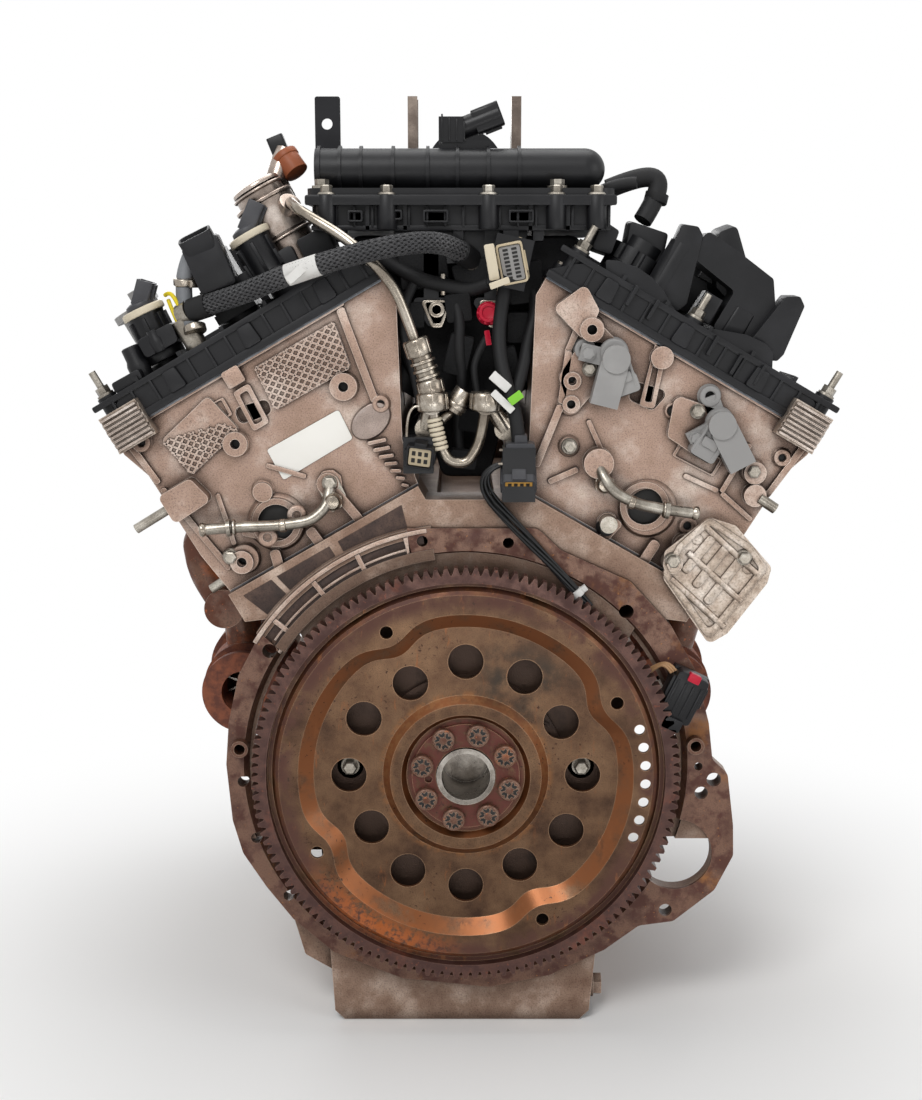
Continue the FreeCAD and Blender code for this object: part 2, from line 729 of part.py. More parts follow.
def oil_pan():
    top = pan_rail_z
    sump_end = 305.0
    outer = prism([(-skirt_half, top), (skirt_half, top), (112, -150), (106, pan_bottom_z + 8),
                   (98, pan_bottom_z), (-104, pan_bottom_z), (-112, pan_bottom_z + 8), (-116, -150)],
                  0, sump_end)
    shallow = prism([(-skirt_half, top), (skirt_half, top), (104, -128), (-104, -128)], sump_end - 1,
                    block_length)
    rail = box(-skirt_half - 14, skirt_half + 14, 0, block_length, top - 10, top)
    flange = flange_prism(0, 12).common(box(-230, 230, -1, 20, -230, top))
    neck = prism([(-112, top), (112, top), (108, -190), (-108, -190)], 0, 30)
    body = join([outer, shallow, rail, flange, neck])
    w = cover_wall
    hollow = prism([(-skirt_half + w, top + 1), (skirt_half - w, top + 1), (112 - w, -150),
                    (106 - w, pan_bottom_z + 9), (98 - w, pan_bottom_z + w), (-104 + w, pan_bottom_z + w),
                    (-112 + w, pan_bottom_z + 9), (-116 + w, -150)], 14, sump_end - w)
    hollow_front = prism([(-skirt_half + w, top + 1), (skirt_half - w, top + 1), (104 - w, -128 + w),
                          (-104 + w, -128 + w)], sump_end - w - 1, block_length - w)
    body = minus(body, [hollow, hollow_front])
    lumps = [prism([(-150, -128), (-118, -128), (-108, -190), (-138, -172)], 12, 60, 4),
             prism([(-112, -172), (-44, -190), (-44, -219), (-100, -214)], 12, 44, 5),
             prism([(56, -186), (104, -170), (106, -224), (60, -222)], 12, 44, 5),
             box(-30, 18, 12, 40, -224, -186)]
    for k in range(4):
        y = 80 + 55 * k
        lumps.append(box(-112, 106, y, y + 5, pan_bottom_z, pan_bottom_z + 30))
    body = join([body] + lumps).cut(hollow)
    cuts = [along_y(x, z, -10, 40, r) for x, z, r in plate_holes if z < pan_rail_z + 8]
    cuts.append(along_y(starter_place[0], starter_place[1], -10, 40, starter_r))
    cuts.append(rod((80, 24, -205), (160, 24, -205), drain_r))
    return largest(minus(body, cuts + nodes["separator_plate"]))


def drain_plug():
    head = hexagon((108.5, 24, -205), (118, 24, -205), 17)
    return join([head, rod((99, 24, -205), (108.6, 24, -205), drain_r),
                 rod((108.5, 24, -205), (111, 24, -205), 11)])


def oil_pickup():
    """The strainer bell and the tube that bolts under the block's front wall."""
    seat = pan_rail_z
    foot_y = block_length - 16
    tube = pipe([(40, foot_y, seat - 4), (40, foot_y, seat - 34), (34, foot_y - 44, seat - 38),
                 (24, foot_y - 84, seat - 42), (8, foot_y - 154, seat - 78), (0, foot_y - 194, seat - 118),
                 (0, foot_y - 200, seat - 142)], 9, "pick-up tube")
    bell = cone((0, foot_y - 200, seat - 138), (0, foot_y - 200, seat - 156), 10, 34)
    foot = rod((40, foot_y, seat - 6), (40, foot_y, seat), 11)
    return join([tube, bell, foot])


def oil_pump():
    """The gear pump round the crank snout, in the front chest."""
    y = block_length
    body = join([along_y(0, 0, y, y + 7, 50), prism([(-30, -56), (60, -56), (50, 0), (-40, 0)], y, y + 7, 8)])
    return body.cut(along_y(0, 0, y - 1, y + 8, 19 + gap))


# Heads and what turns in them


def cylinder_head(side):
    body = bank_prism(side, head_points, head_rear_y, block_length)
    features = []
    if side < 0:
        features.append(bank_prism(side, [(76, 359), (70, 323), (17, 335), (25, 371)], head_rear_y - 3,
                                   head_rear_y + 1, 4))
        features.append(bank_prism(side, [(-19, 371), (-93, 371), (-86, 333), (-16, 334)], head_rear_y - 3,
                                   head_rear_y + 1, 4))
        features.append(bank_prism(side, [(100, 322), (70, 322), (64, 298), (100, 296)], head_rear_y - 16,
                                   head_rear_y + 1, 5))
        spots = [(25.7, 326.8, 10, 7), (-73.2, 322.8, 11, 7), (71.2, 241.8, 9.5, 9), (-22.2, 261.8, 9, 6),
                 (27.0, 282.4, 8, 6), (30.5, 255.4, 20, 5)]
    else:
        features.append(bank_prism(side, [(-130, 362), (-117, 391), (-97, 379), (-94, 352)], head_rear_y - 10,
                                   head_rear_y + 1, 5))
        features.append(bank_prism(side, [(-96, 372), (-60, 362), (-72, 295), (-98, 318)], head_rear_y - 6,
                                   head_rear_y + 1, 6))
        features.append(bank_prism(side, [(-10, 352), (42, 362), (40, 318), (2, 320)], head_rear_y - 6,
                                   head_rear_y + 1, 6))
        spots = [(-94.4, 363.0, 9.5, 12), (-87, 320.4, 7, 8), (-78.2, 303.9, 7, 8), (-34.4, 372, 9, 8),
                 (-35.2, 274.4, 12, 14), (16.0, 262.6, 20, 5), (-3.1, 236, 8, 4), (78.6, 330.5, 9, 9),
                 (88, 314.9, 9, 10), (60, 252, 9, 8)]
    for m, n, r, proud in spots:
        features.append(rod(at(side, m, head_rear_y - proud, n), at(side, m, head_rear_y + 2, n), r))
    body = join([body] + features)
    cuts = []
    trough = [(-128, cam_n - 34), (-40, cam_n - 34), (-34, cam_n - 26), (6, cam_n - 26), (12, cam_n - 34),
              (92, cam_n - 34), (96, rail_n + 1), (-132, rail_n + 1)]
    trough_rear = head_rear_y + 12
    cuts.append(bank_prism(side, trough, trough_rear, block_length + 1))
    body = minus(body, cuts)
    towers = []
    for m in cam_m.values():
        for y in cam_bearing_places(side):
            towers.append(bank_box(side, m - 20, m + 20, y - 9, y + 9, cam_n - 36, cam_n))
    body = join([body] + towers)
    cuts = []
    for m in cam_m.values():
        cuts.append(rod(at(side, m, trough_rear, cam_n), at(side, m, block_length + 1, cam_n), cam_journal_d / 2))
    for row in range(3):
        y = first_bore_y[side] + row * bore_pitch
        cuts.append(bank_rod(side, coil_m, y, deck_n - 5, rail_n + 5, plug_well_r))
        dome = Part.makeSphere(58, V(*at(side, 0, y, deck_n - 42)))
        cuts.append(dome.common(bank_box(side, -60, 60, y - 60, y + 60, deck_n - 1, deck_n + 30)))
        port = at(side, -20, y, 262), at(side, -150, y, 318)
        cuts.append(rod(port[0], port[1], port_r))
        cuts.append(rod(at(side, 20, y, 262), at(side, 140, y, 275), port_r))
    threads = [(25.7, 326.8, 4), (-73.2, 322.8, 4), (71.2, 241.8, 4)] if side < 0 else \
        [(-94.4, 363.0, 4), (-87, 320.4, 3.5), (-78.2, 303.9, 3.5), (60, 252, 4)]
    for m, n, r in threads:
        cuts.append(rod(at(side, m, head_rear_y - 20, n), at(side, m, head_rear_y + 8, n), r))
    cup = (30.5, 255.4) if side < 0 else (16.0, 262.6)
    cuts.append(rod(at(side, cup[0], head_rear_y - 20, cup[1]), at(side, cup[0], head_rear_y + 3, cup[1]), 15))
    slot = [(13, 352), (-15, 345), (-12, 333), (15, 338)] if side < 0 else [(-44, 345), (-14, 352), (-18, 332),
                                                                          (-40, 330)]
    cuts.append(bank_prism(side, slot, head_rear_y - 20, head_rear_y + 5, 5))
    return largest(minus(body, cuts))


def cam_bearing_places(side):
    """Bearing towers between the cylinders and at both ends."""
    first = first_bore_y[side]
    return [first - 47, first + 53, first + 53 + bore_pitch, block_length - 12]


def cam_caps(side):
    caps = []
    for m in cam_m.values():
        for y in cam_bearing_places(side):
            cap = bank_prism(side, [(m - 20, cam_n), (m + 20, cam_n), (m + 20, cam_n + 8), (m + 13, cam_n + 20),
                                    (m - 13, cam_n + 20), (m - 20, cam_n + 8)], y - 9, y + 9)
            caps.append(cap.cut(rod(at(side, m, 0, cam_n), at(side, m, 500, cam_n), cam_journal_d / 2)))
    return caps


def camshaft(side, kind):
    """A hollow shaft with journals and two lobes a cylinder."""
    m = cam_m[kind]
    y0 = head_rear_y + 14
    y1 = block_length + 5
    places = cam_bearing_places(side)
    parts = [rod(at(side, m, y0, cam_n), at(side, m, y1, cam_n), cam_journal_d / 2 - 2)]
    for y in places:
        parts.append(rod(at(side, m, y - 10, cam_n), at(side, m, y + 10, cam_n), cam_journal_d / 2 - running_clear))
    for row in range(3):
        y = first_bore_y[side] + row * bore_pitch
        turn = 120.0 * row + (35 if kind == "intake" else 145)
        for shift in (-18, 18):
            parts.append(cam_lobe(side, m, y + shift, turn))
    return join(parts)


def cam_lobe(side, m, y, turn):
    """An egg-shaped lobe: the base circle joined to a smaller nose circle."""
    half = 6.5
    nose = 7.0
    reach = cam_base_r + cam_lift - nose
    lobe_points = []
    slope = math.acos((cam_base_r - nose) / reach)
    for k in range(9):
        a = slope + (2 * math.pi - 2 * slope) * k / 8
        lobe_points.append((cam_base_r * math.sin(a), cam_base_r * math.cos(a)))
    for k in range(5):
        a = -slope + 2 * slope * k / 4
        lobe_points.append((nose * math.sin(a), reach + nose * math.cos(a)))
    lobe = prism(lobe_points, -half, half)
    lobe.rotate(V(0, 0, 0), V(0, 1, 0), turn)
    lobe.translate(V(*at(side, m, y, cam_n)))
    return lobe


def damper():
    y0 = block_length + timing_depth - 6
    front = chest_end + 36
    back = chest_end + 12
    grooves = []
    for k in range(4):
        grooves += [(80, back + 6 + 4 * k), (77, back + 8 + 4 * k)]
    pulley = turned([(19, y0), (26, y0), (26, back), (75, back), (80, back + 3)] + grooves
                    + [(80, back + 24), (70, back + 24), (66, back + 12), (34, back + 12), (30, front), (19, front)])
    return pulley, hexagon((0, front, 0), (0, front + 12, 0), 24)


def head_gaskets():
    gaskets = []
    for side in (-1, 1):
        sheet = bank_prism(side, [(deck_inner_m, deck_n), (deck_outer_m, deck_n), (deck_outer_m, deck_n + gasket_t),
                                  (deck_inner_m, deck_n + gasket_t)], head_rear_y, block_length)
        holes = [bank_rod(side, 0, first_bore_y[side] + row * bore_pitch, deck_n - 1, deck_n + 3,
                          bore_d / 2 + 0.5) for row in range(3)]
        gaskets.append(minus(sheet, holes))
    return gaskets


# Covers


def cover_section(top, inset):
    lift = 12 if top > cover_top_n else 0
    return [(rail_inner_m + inset, rail_n - (1 if inset else 0)), (rail_inner_m + inset, rail_n + 8 + lift),
            (rail_inner_m + 14 + inset, top - 8 - inset), (rail_inner_m + 26 + inset, top - inset),
            (rail_outer_m - 26 - inset, top - inset), (rail_outer_m - 12 - inset, top - 10 - inset),
            (rail_outer_m - inset, rail_n + 8 + lift), (rail_outer_m - inset, rail_n - (1 if inset else 0))]


def cam_cover(side):
    w = cover_wall
    rear = head_rear_y - 3
    shell = join([bank_prism(side, cover_section(cover_top_n, 0), rear, chest_y + 4),
                  bank_prism(side, cover_section(chest_top_n, 0), chest_y, chest_end + 4)])
    inside = [bank_prism(side, cover_section(cover_top_n, w), rear + w, chest_y + 5),
              bank_prism(side, cover_section(chest_top_n, w), chest_y + w, chest_end)]
    shell = minus(shell, inside)
    extras = []
    for y in cover_bolt_y:
        for m in (rail_inner_m + 9, rail_outer_m - 9):
            extras.append(bank_rod(side, m, y, rail_n, rail_n + 16, 9))
    for m, y in stud_places[side]:
        extras.append(bank_rod(side, m, y - 6, rail_n, cover_top_n + 4, 8))
    for k in range(5):
        m = rail_inner_m + 52 + 40 * k
        extras.append(bank_box(side, m, m + 3, rear, rear + 60, cover_top_n - w, cover_top_n + 5))
    for row in range(3):
        y = first_bore_y[side] + row * bore_pitch
        extras.append(bank_rod(side, coil_m, y, cam_n - 26 + gap, cover_top_n + 8, plug_well_r + 5))
    if side < 0:
        extras.append(bank_rod(side, pump_m, pump_y, cover_top_n - w, cover_top_n + 12, 34))
        extras.append(bank_rod(side, 50, 70, cover_top_n - w, cover_top_n + 6, 22))
    else:
        extras.append(bank_rod(side, cap_m, cap_y, cover_top_n - w, cover_top_n + 14, 24))
        extras.append(bank_rod(side, -62, 38, cover_top_n - w, cover_top_n + 50, 11))
        extras.append(bank_rod(side, 36, 40, cover_top_n - w, cover_top_n + 46, 11))
    shell = join([shell] + extras)
    cuts = [bank_rod(side, coil_m, first_bore_y[side] + row * bore_pitch, rail_n - 60, cover_top_n + 20,
                     plug_well_r + 1) for row in range(3)]
    for y in cover_bolt_y:
        for m in (rail_inner_m + 9, rail_outer_m - 9):
            cuts.append(bank_rod(side, m, y, rail_n + 16, rail_n + 40, 8.5))
    if side < 0:
        cuts.append(bank_rod(side, pump_m, pump_y, rail_n, cover_top_n + 20, 15))
    else:
        cuts.append(bank_rod(side, cap_m, cap_y, rail_n, cover_top_n + 20, filler_r))
    for m in cam_m.values():
        cuts.append(rod(at(side, m, rear + w, cam_n), at(side, m, chest_y + 4, cam_n), 27))
    return largest(clear_of(minus(shell, cuts), ["cylinder_head_left", "cylinder_head_right", "cam_caps"]))


def tall_studs():
    studs = []
    for side in (-1, 1):
        for m, y in stud_places[side]:
            seat = cover_top_n + 4
            studs.append(join([flange_bolt(at(side, m, y - 6, seat), at(side, m, y - 6, seat + 8), 10, 8, 7),
                               bank_rod(side, m, y - 6, seat, seat + 22, 3)]))
    return studs


def small_bolts():
    bolts = []
    for side in (-1, 1):
        for y in cover_bolt_y:
            for m in (rail_inner_m + 9, rail_outer_m - 9):
                seat = rail_n + 16
                bolts.append(flange_bolt(at(side, m, y, seat), at(side, m, y, seat + 7)))
    for x in (-115, 73):
        bolts.append(flange_bolt((x, 34, flange_z + 6), (x, 34, flange_z + 13)))
    return bolts


def coil(side, row):
    """A pencil coil: the stem in its well, the square body and the socket for its plug."""
    y = first_bore_y[side] + row * bore_pitch
    seat = cover_top_n + 8
    stem = bank_rod(side, coil_m, y, deck_n + 60, seat, plug_well_r - 2)
    foot = bank_box(side, coil_m - 18, coil_m + 18, y - 20, y + 26, seat, seat + 8)
    body = bank_prism(side, [(coil_m - 17, seat + 7), (coil_m + 17, seat + 7), (coil_m + 17, seat + 44),
                             (coil_m + 6, seat + 58), (coil_m - 17, seat + 58)], y - 18, y + 16, 3)
    socket = bank_box(side, coil_m - 11, coil_m + 11, y - 34, y - 17, seat + 30, seat + 46)
    return join([stem, foot, body, socket])


def spark_plug(side, row):
    y = first_bore_y[side] + row * bore_pitch
    tip = deck_n + 8
    return join([bank_rod(side, coil_m, y, tip, tip + 34, 7), hexagon(at(side, coil_m, y, tip + 33),
                                                                    at(side, coil_m, y, tip + 43), 16),
                 bank_rod(side, coil_m, y, tip + 42, deck_n + 60 - gap, 4.5)])


def cam_solenoid():
    """The solenoid that stands over the exhaust cam of the left bank."""
    seat = cover_top_n + 6
    parts = [bank_rod(-1, 50, 70, seat, seat + 44, 15), bank_rod(-1, 50, 70, seat + 44, seat + 50, 20),
             bank_box(-1, 30, 48, 60, 80, seat + 49, seat + 62)]
    return join(parts)


# Fuel side


def fuel_pump():
    n = pump_base_n
    parts = [bank_prism(-1, [(pump_m - 32, n), (pump_m + 32, n), (pump_m + 32, n + 8), (pump_m - 32, n + 8)],
                        pump_y - 20, pump_y + 20, 3),
             bank_rod(-1, pump_m, pump_y, n, n + 34, 22),
             bank_rod(-1, pump_m, pump_y, n + 34, n + 62, 24),
             bank_rod(-1, pump_m, pump_y, n + 62, n + 74, 20.5),
             bank_rod(-1, pump_m, pump_y, n + 74, n + 77, 12)]
    outlet = fuel_route[0]
    parts.append(rod(at(-1, pump_m, pump_y, n + 40), outlet, 9))
    parts.append(rod(at(-1, pump_m, pump_y + 10, n + 60), (-150, pump_y + 22, 506), 9))
    parts.append(bank_rod(-1, pump_m, pump_y, n - 22, n, 14))
    return join(parts)


def fuel_lines():
    high = pipe(fuel_route, 4.2, "fuel line")
    damper = join([hexagon((-40, -1, 352), (-36, -1, 342), 17), rod((-36, -1, 342), (-29, -1, 320), 8.5),
                   hexagon((-29, -1, 320), (-27, -1, 311), 17)])
    low = pipe(crossover_route, 4.2, "crossover")
    nut = hexagon((-27, -1, 311), (-26.2, -1, 299), 15)
    nut_right = hexagon((16, -1, 311), (15, -1, 299), 15)
    return join([high, damper, low, nut, nut_right])


def fuel_rails():
    rails = []
    for side in (-1, 1):
        x = rail_x[side]
        end_x = -27 if side < 0 else 16
        rail = along_y(x, rail_z, 8, 350, rail_r)
        head = along_y(end_x, 304, -8, 14, 9)
        leg = rod((end_x, 9, 304), (x, 13, rail_z), 7)
        rails.append(join([rail, head, leg]))
    return [clear_of(rail, ["fuel_lines"]) for rail in rails]


def injectors():
    bodies = []
    for side in (-1, 1):
        for row in range(3):
            y = first_bore_y[side] + row * bore_pitch
            start = V(rail_x[side], y, rail_z)
            end = V(*at(side, -84, y, 256))
            body = rod(tuple(start), tuple(end), 8)
            cone_part = cone(tuple(start), tuple(start + (end - start) * 0.5), 11, 9)
            bodies.append(largest(clear_of(join([body, cone_part]), ["fuel_rails", "cylinder_head_left",
                                                                       "cylinder_head_right", "head_gaskets",
                                                                       "cylinder_block"])))
    return bodies


# Intake


def runner_route(side, row):
    y = first_bore_y[side] + row * bore_pitch
    return [(side * runner_x, y, low_z + 6), (side * runner_x, y, 372), (side * (runner_x + 3), y, 350),
            (side * 58, y, 312)]


def intake_lower():
    body = slab([(-124, 32), (117, 32), (117, 335), (-124, 335)], low_z, flange_z - 6, 14)
    flange = slab([(-129, 24), (120, 24), (120, 340), (-129, 340)], flange_z - 6, flange_z, 14)
    parts = [body, flange]
    for x in (-110, -80, -50, 50, 80, 105):
        parts.append(box(x, x + 3, 28, 34, low_z, flange_z - 4))
    inner = []
    for side in (-1, 1):
        for row in range(3):
            parts.append(pipe(runner_route(side, row), runner_r))
            inner.append(pipe(runner_route(side, row), port_r))
    for x in (-28, 21):
        parts.append(prism([(x - 18, 386), (x + 18, 386), (x, 360)], 34, 37, 4))
        parts.append(box(x - 6, x + 6, 34, 37, 380, low_z + 2))
    parts.append(box(-6, 20, 48, 60, 392, low_z + 2))
    parts.append(along_y(17, 373, 30, 35, 7))
    parts.append(box(30, 42, 28 + gap, 34, 404, low_z + 2))
    solid = minus(join(parts), inner)
    return largest(clear_of(solid, ["cylinder_head_left", "cylinder_head_right", "cam_cover_left",
                                    "cam_cover_right", "fuel_rails", "injectors"]))


def intake_upper():
    z = tube_z
    r = 17.0
    base = slab([(-127, 26), (119, 26), (119, 338), (-127, 338)], flange_z, flange_z + 6, 14)
    tube = rod((-122, 60, z), (96, 60, z), r)
    dome = Part.makeSphere(r, V(96, 60, z))
    body = slab([(-118, 60), (100, 60), (110, 90), (110, 328), (-118, 328)], flange_z + 4, z + 8, 18)
    parts = [base, tube, dome, body]
    for x in (-120, -103, -86, -60, -32, -8, 17, 42):
        parts.append(rod((x, 60, z), (x + 2.5, 60, z), r + 2))
        parts.append(box(x, x + 2.5, 60, 325, z + 7, z + 11))
    parts.append(along_y(throttle_x, throttle_z, 300, 342, throttle_r + 7))
    solid = join(parts)
    return solid.cut(along_y(throttle_x, throttle_z, 304, 343, throttle_r))


def throttle_body():
    ring = along_y(throttle_x, throttle_z, 342, 382, throttle_r + 7)
    motor = rod((throttle_x + 34, throttle_y, throttle_z - 20), (throttle_x + 74, throttle_y, throttle_z - 20), 17)
    arm = box(throttle_x + 20, throttle_x + 60, throttle_y - 14, throttle_y + 14, throttle_z - 30, throttle_z + 16)
    solid = join([ring, motor, arm]).cut(along_y(throttle_x, throttle_z, 341, 383, throttle_r))
    return solid.cut(rod((throttle_x - throttle_r - 4, throttle_y, throttle_z),
                         (throttle_x + 50, throttle_y, throttle_z), 4 + running_clear))


def throttle_plate():
    disc = along_y(throttle_x, throttle_z, throttle_y - 1.2, throttle_y + 1.2, throttle_r - gap)
    shaft = rod((throttle_x - throttle_r - 3, throttle_y, throttle_z), (throttle_x + 48, throttle_y, throttle_z), 4)
    return join([disc, shaft])


def map_sensor():
    z = tube_z
    foot = box(-19, 20, 62, 84, z + 15, z + 23)
    body = box(-22, -2, 60, 84, z + 22, z + 42)
    barrel = rod((-4, 70, z + 33), (27, 70, z + 45), 9)
    return clear_of(join([foot, body, barrel]), ["intake_upper"])


def upright_brackets():
    z1 = bracket_top_z
    top = tube_z + 8
    left = prism([(-125, flange_z + 4), (-104, flange_z + 4), (-104, z1), (-125, z1)], 92, 95, 2)
    left = left.cut(along_y(-115, z1 - 22, 80, 100, 4.5))
    foot = box(-125, -104, 92, 118, top + 3, top + 6)
    brackets = [join([left, foot])]
    for x in (-48, 38):
        channel = box(x, x + 8, 90, 120, top, z1).cut(box(x + 2, x + 9, 93, 117, top + 9, z1 + 1))
        brackets.append(channel)
    return [largest(clear_of(b, ["intake_upper", "intake_lower"])) for b in brackets]


# Small rear fittings

def coolant_tubes():
    left = pipe([(-214, -8, 202.5), (-184, -8, 205), (-150, -8, 206), (-124, -8, 210), (-112, -4, 221),
                 (-110, 4, 234)], 4.5, "coolant left")
    bead = rod((-192, -8, 204.2), (-189, -8, 204.5), 7)
    left_ear = bank_prism(-1, [(-32, 266), (-14, 266), (-12, 244), (-30, 244)], head_rear_y - 6, head_rear_y - 2, 4)
    right = pipe([(107, 6, 255), (110, -4, 245), (119, -8, 233), (136, -8, 224), (160, -8, 219), (187, -8, 216)],
                 4.5, "coolant right")
    right_bead = rod((160, -8, 219), (163, -8, 218.6), 7)
    return [clear_of(s, ["cylinder_head_left", "cylinder_head_right"]) for s in
            (join([left, bead, left_ear]), join([right, right_bead]))]


def cam_sensors():
    sensors = []
    for x, z, tilt in ((118, 339, 14), (203, 287, -28)):
        body = box(x - 11, x + 11, -12, 4, z - 38, z - 4)
        head = along_y(x, z, -14, head_rear_y, 11)
        ear = box(x - 28, x, -2, 3, z - 8, z + 6)
        bolt = flange_bolt((x - 22, -2, z - 1), (x - 22, -8, z - 1), 8, 5, 6)
        sensor = join([body, head, ear, bolt])
        sensor.rotate(V(x, 0, z), V(0, 1, 0), tilt)
        sensors.append(clear_of(sensor, ["cylinder_head_right"]))
    return [largest(s) for s in sensors]


def heat_shields():
    points = [(195, 213), (217, 206), (247, 172), (244, 159), (213, 117), (198, 108), (160, 162), (160, 185)]
    sheet = prism(points, -8, -6, 6)
    ribs = []
    for shift in (0, 24, 48):
        x0, z0 = 192 - 0.55 * shift, 206 - 0.9 * shift
        ribs.append(rod((x0, -8, z0), (x0 + 44, -8, z0 - 40), 3.0))
    main = join([sheet] + [rib.common(box(150, 260, -12, -6, 100, 220)) for rib in ribs])
    post = rod((167, -6, 175), (167, 6, 175), 8)
    main = join([main, post, flange_bolt((167, -8, 175), (167, -15, 175))])
    shields = [largest(clear_of(main, ["cylinder_head_right", "cylinder_block", "separator_plate"]))]
    for side in (-1, 1):
        strip = bank_box(side, 74, 108, -4, head_rear_y, 366, 398)
        grooves = [bank_box(side, 73, 109, -5, -2, 368 + 6 * k, 371 + 6 * k) for k in range(5)]
        strip = minus(strip, grooves)
        names = ["cylinder_head_left", "cylinder_head_right", "cam_cover_left", "cam_cover_right"]
        shields.append(largest(clear_of(strip, names)))
    return shields


def rear_plugs():
    """Studs, plugs and fittings that stick out of the heads' rear and sides."""
    parts = []
    parts.append(rod(at(-1, 92, 4, 309), at(-1, 131, 4, 308), 4))
    parts.append(rod(at(-1, 96, 34, 233), at(-1, 112, 34, 232), 4))
    parts.append(rod(at(1, 92, 4, 315), at(1, 108, 4, 314), 4.5))
    x, _, z = at(1, -3.1, 0, 236)
    parts.append(along_y(x, z, -4, head_rear_y - 4, 7))
    return [largest(clear_of(p, ["cylinder_head_left", "cylinder_head_right"])) for p in parts]


def oil_filler_cap():
    seat = cover_top_n + 14 + gap
    cap = join([bank_rod(1, cap_m, cap_y, seat, seat + 14, 23), bank_rod(1, cap_m, cap_y, seat + 13, seat + 24, 17),
                bank_rod(1, cap_m, cap_y, seat - 16, seat, filler_r - running_clear)])
    grips = [bank_rod(1, cap_m + 24 * math.cos(math.radians(45 * k)), cap_y + 24 * math.sin(math.radians(45 * k)),
                      seat + 1, seat + 15, 4) for k in range(8)]
    return minus(cap, grips)


def vent_box():
    """The black vent and connector housing over the right cover."""
    seat = cover_top_n + 5
    shell = bank_prism(1, [(-8, seat), (30, seat), (30, seat + 36), (14, seat + 58), (-20, seat + 62),
                           (-52, seat + 64), (-52, seat + 40), (-8, seat + 34)], 30, 74, 4)
    return largest(clear_of(shell, ["cam_cover_right", "coils", "cover_fasteners", "oil_filler_cap"]))


def braided_hose_shape():
    return pipe(hose_route, 8.0, "vent hose")


def hose_fittings():
    left = rod((-220, 22, 376), (-228, 27, 372), 10)
    post = bank_rod(-1, 14, 26, cover_top_n, cover_top_n + 26, 9)
    right = rod((4, 38, 416), (6, 48, 407), 10)
    return [clear_of(join([left, post]), ["cam_cover_left", "braided_hose"]),
            clear_of(right, ["intake_lower", "braided_hose"])]


def harness():
    trunk = pipe(harness_route, 6.0, "valley harness")
    wires = pipe(sensor_wire_route, 4.0, "sensor wires")
    return [trunk, wires]


def connectors():
    beige = box(20, 50, 2, 28, 394, 434)
    beige.rotate(V(35, 10, 414), V(0, 1, 0), 12)
    black = box(29, 55, -20, 0, 227, 270)
    six = box(-50, -26, -6, 14, 248, 277)
    crank_plug = box(162, 192, -16, -6, 52, 88)
    crank_plug.rotate(V(177, -10, 70), V(0, 1, 0), 25)
    shapes = [beige, black, six, crank_plug]
    names = ["cylinder_block", "cylinder_head_left", "cylinder_head_right", "fuel_lines", "fuel_rails",
             "harness", "separator_plate", "ring_gear", "intake_lower", "head_gaskets"]
    return [largest(clear_of(s, names)) for s in shapes]


# Exhaust side


def exhaust_log(side):
    log_x = side * 208
    log_z = 121
    parts = [along_y(log_x, log_z, first_bore_y[side] - 18, first_bore_y[side] + 2 * bore_pitch + 18, 17)]
    for row in range(3):
        y = first_bore_y[side] + row * bore_pitch
        parts.append(pipe([(side * 219, y, 186), (side * 230, y, 178), (side * 226, y, 152),
                           (log_x, y, log_z)], 15))
        port = at(side, 100, y, 270.6)
        outward = at(side, 106, y, 271.3)
        parts.append(rod(port, outward, 24))
    parts.append(rod((log_x, turbo_y + 45, log_z), (turbo_x[side], turbo_y + 45, turbo_z), 17))
    return largest(clear_of(join(parts), ["cylinder_head_left", "cylinder_head_right", "cylinder_block",
                                          "turbochargers"]))


def turbocharger(side):
    x, z, y = turbo_x[side], turbo_z, turbo_y
    parts = [along_y(x, z, y, y + 8, 37), along_y(x, z, y, y + 30, 26), along_y(x, z, y + 26, y + 62, 39),
             along_y(x, z, y + 60, y + 96, 22), along_y(x, z, y + 94, y + 128, 44), along_y(x, z, y + 120, y + 146, 26)]
    parts.append(rod((x, y + 78, z), (side * 122, y + 78, 10), 11))
    solid = join(parts)
    cuts = [along_y(x, z, y - 1, y + 58, turbine_r + 1), along_y(x, z, y + 98, y + 147, turbine_r + 1),
            along_y(x, z, y, y + 140, 5 + running_clear)]
    return largest(clear_of(minus(solid, cuts), ["cylinder_block"]))


def turbo_rotor(side):
    x, z, y = turbo_x[side], turbo_z, turbo_y
    parts = [along_y(x, z, y + 30, y + 125, 5)]
    for y0, y1 in ((y + 30, y + 54), (y + 101, y + 125)):
        parts.append(along_y(x, z, y0, y1, 7))
        for k in range(9):
            blade = box(4, turbine_r, y0, y1, -0.8, 0.8)
            blade.rotate(V(0, 0, 0), V(0, 1, 0), 40 * k)
            blade.translate(V(x, 0, z))
            parts.append(blade)
    return join(parts)


# Front end

def front_outline(inset):
    left = [at(-1, rail_outer_m - inset, 0, rail_n - 1), at(-1, rail_inner_m + inset, 0, rail_n - 1)]
    right = [at(1, rail_inner_m + inset, 0, rail_n - 1), at(1, rail_outer_m - inset, 0, rail_n - 1)]
    points = [(-skirt_half + inset, pan_rail_z + inset), (-skirt_half - 20 + inset, 40), (-180 + inset, 130)]
    points += [(p[0], p[2]) for p in left]
    points += [(-28 - inset, 262 - inset), (28 + inset, 262 - inset)]
    points += [(p[0], p[2]) for p in right]
    points += [(180 - inset, 130), (skirt_half + 20 - inset, 40), (skirt_half - inset, pan_rail_z + inset)]
    return points


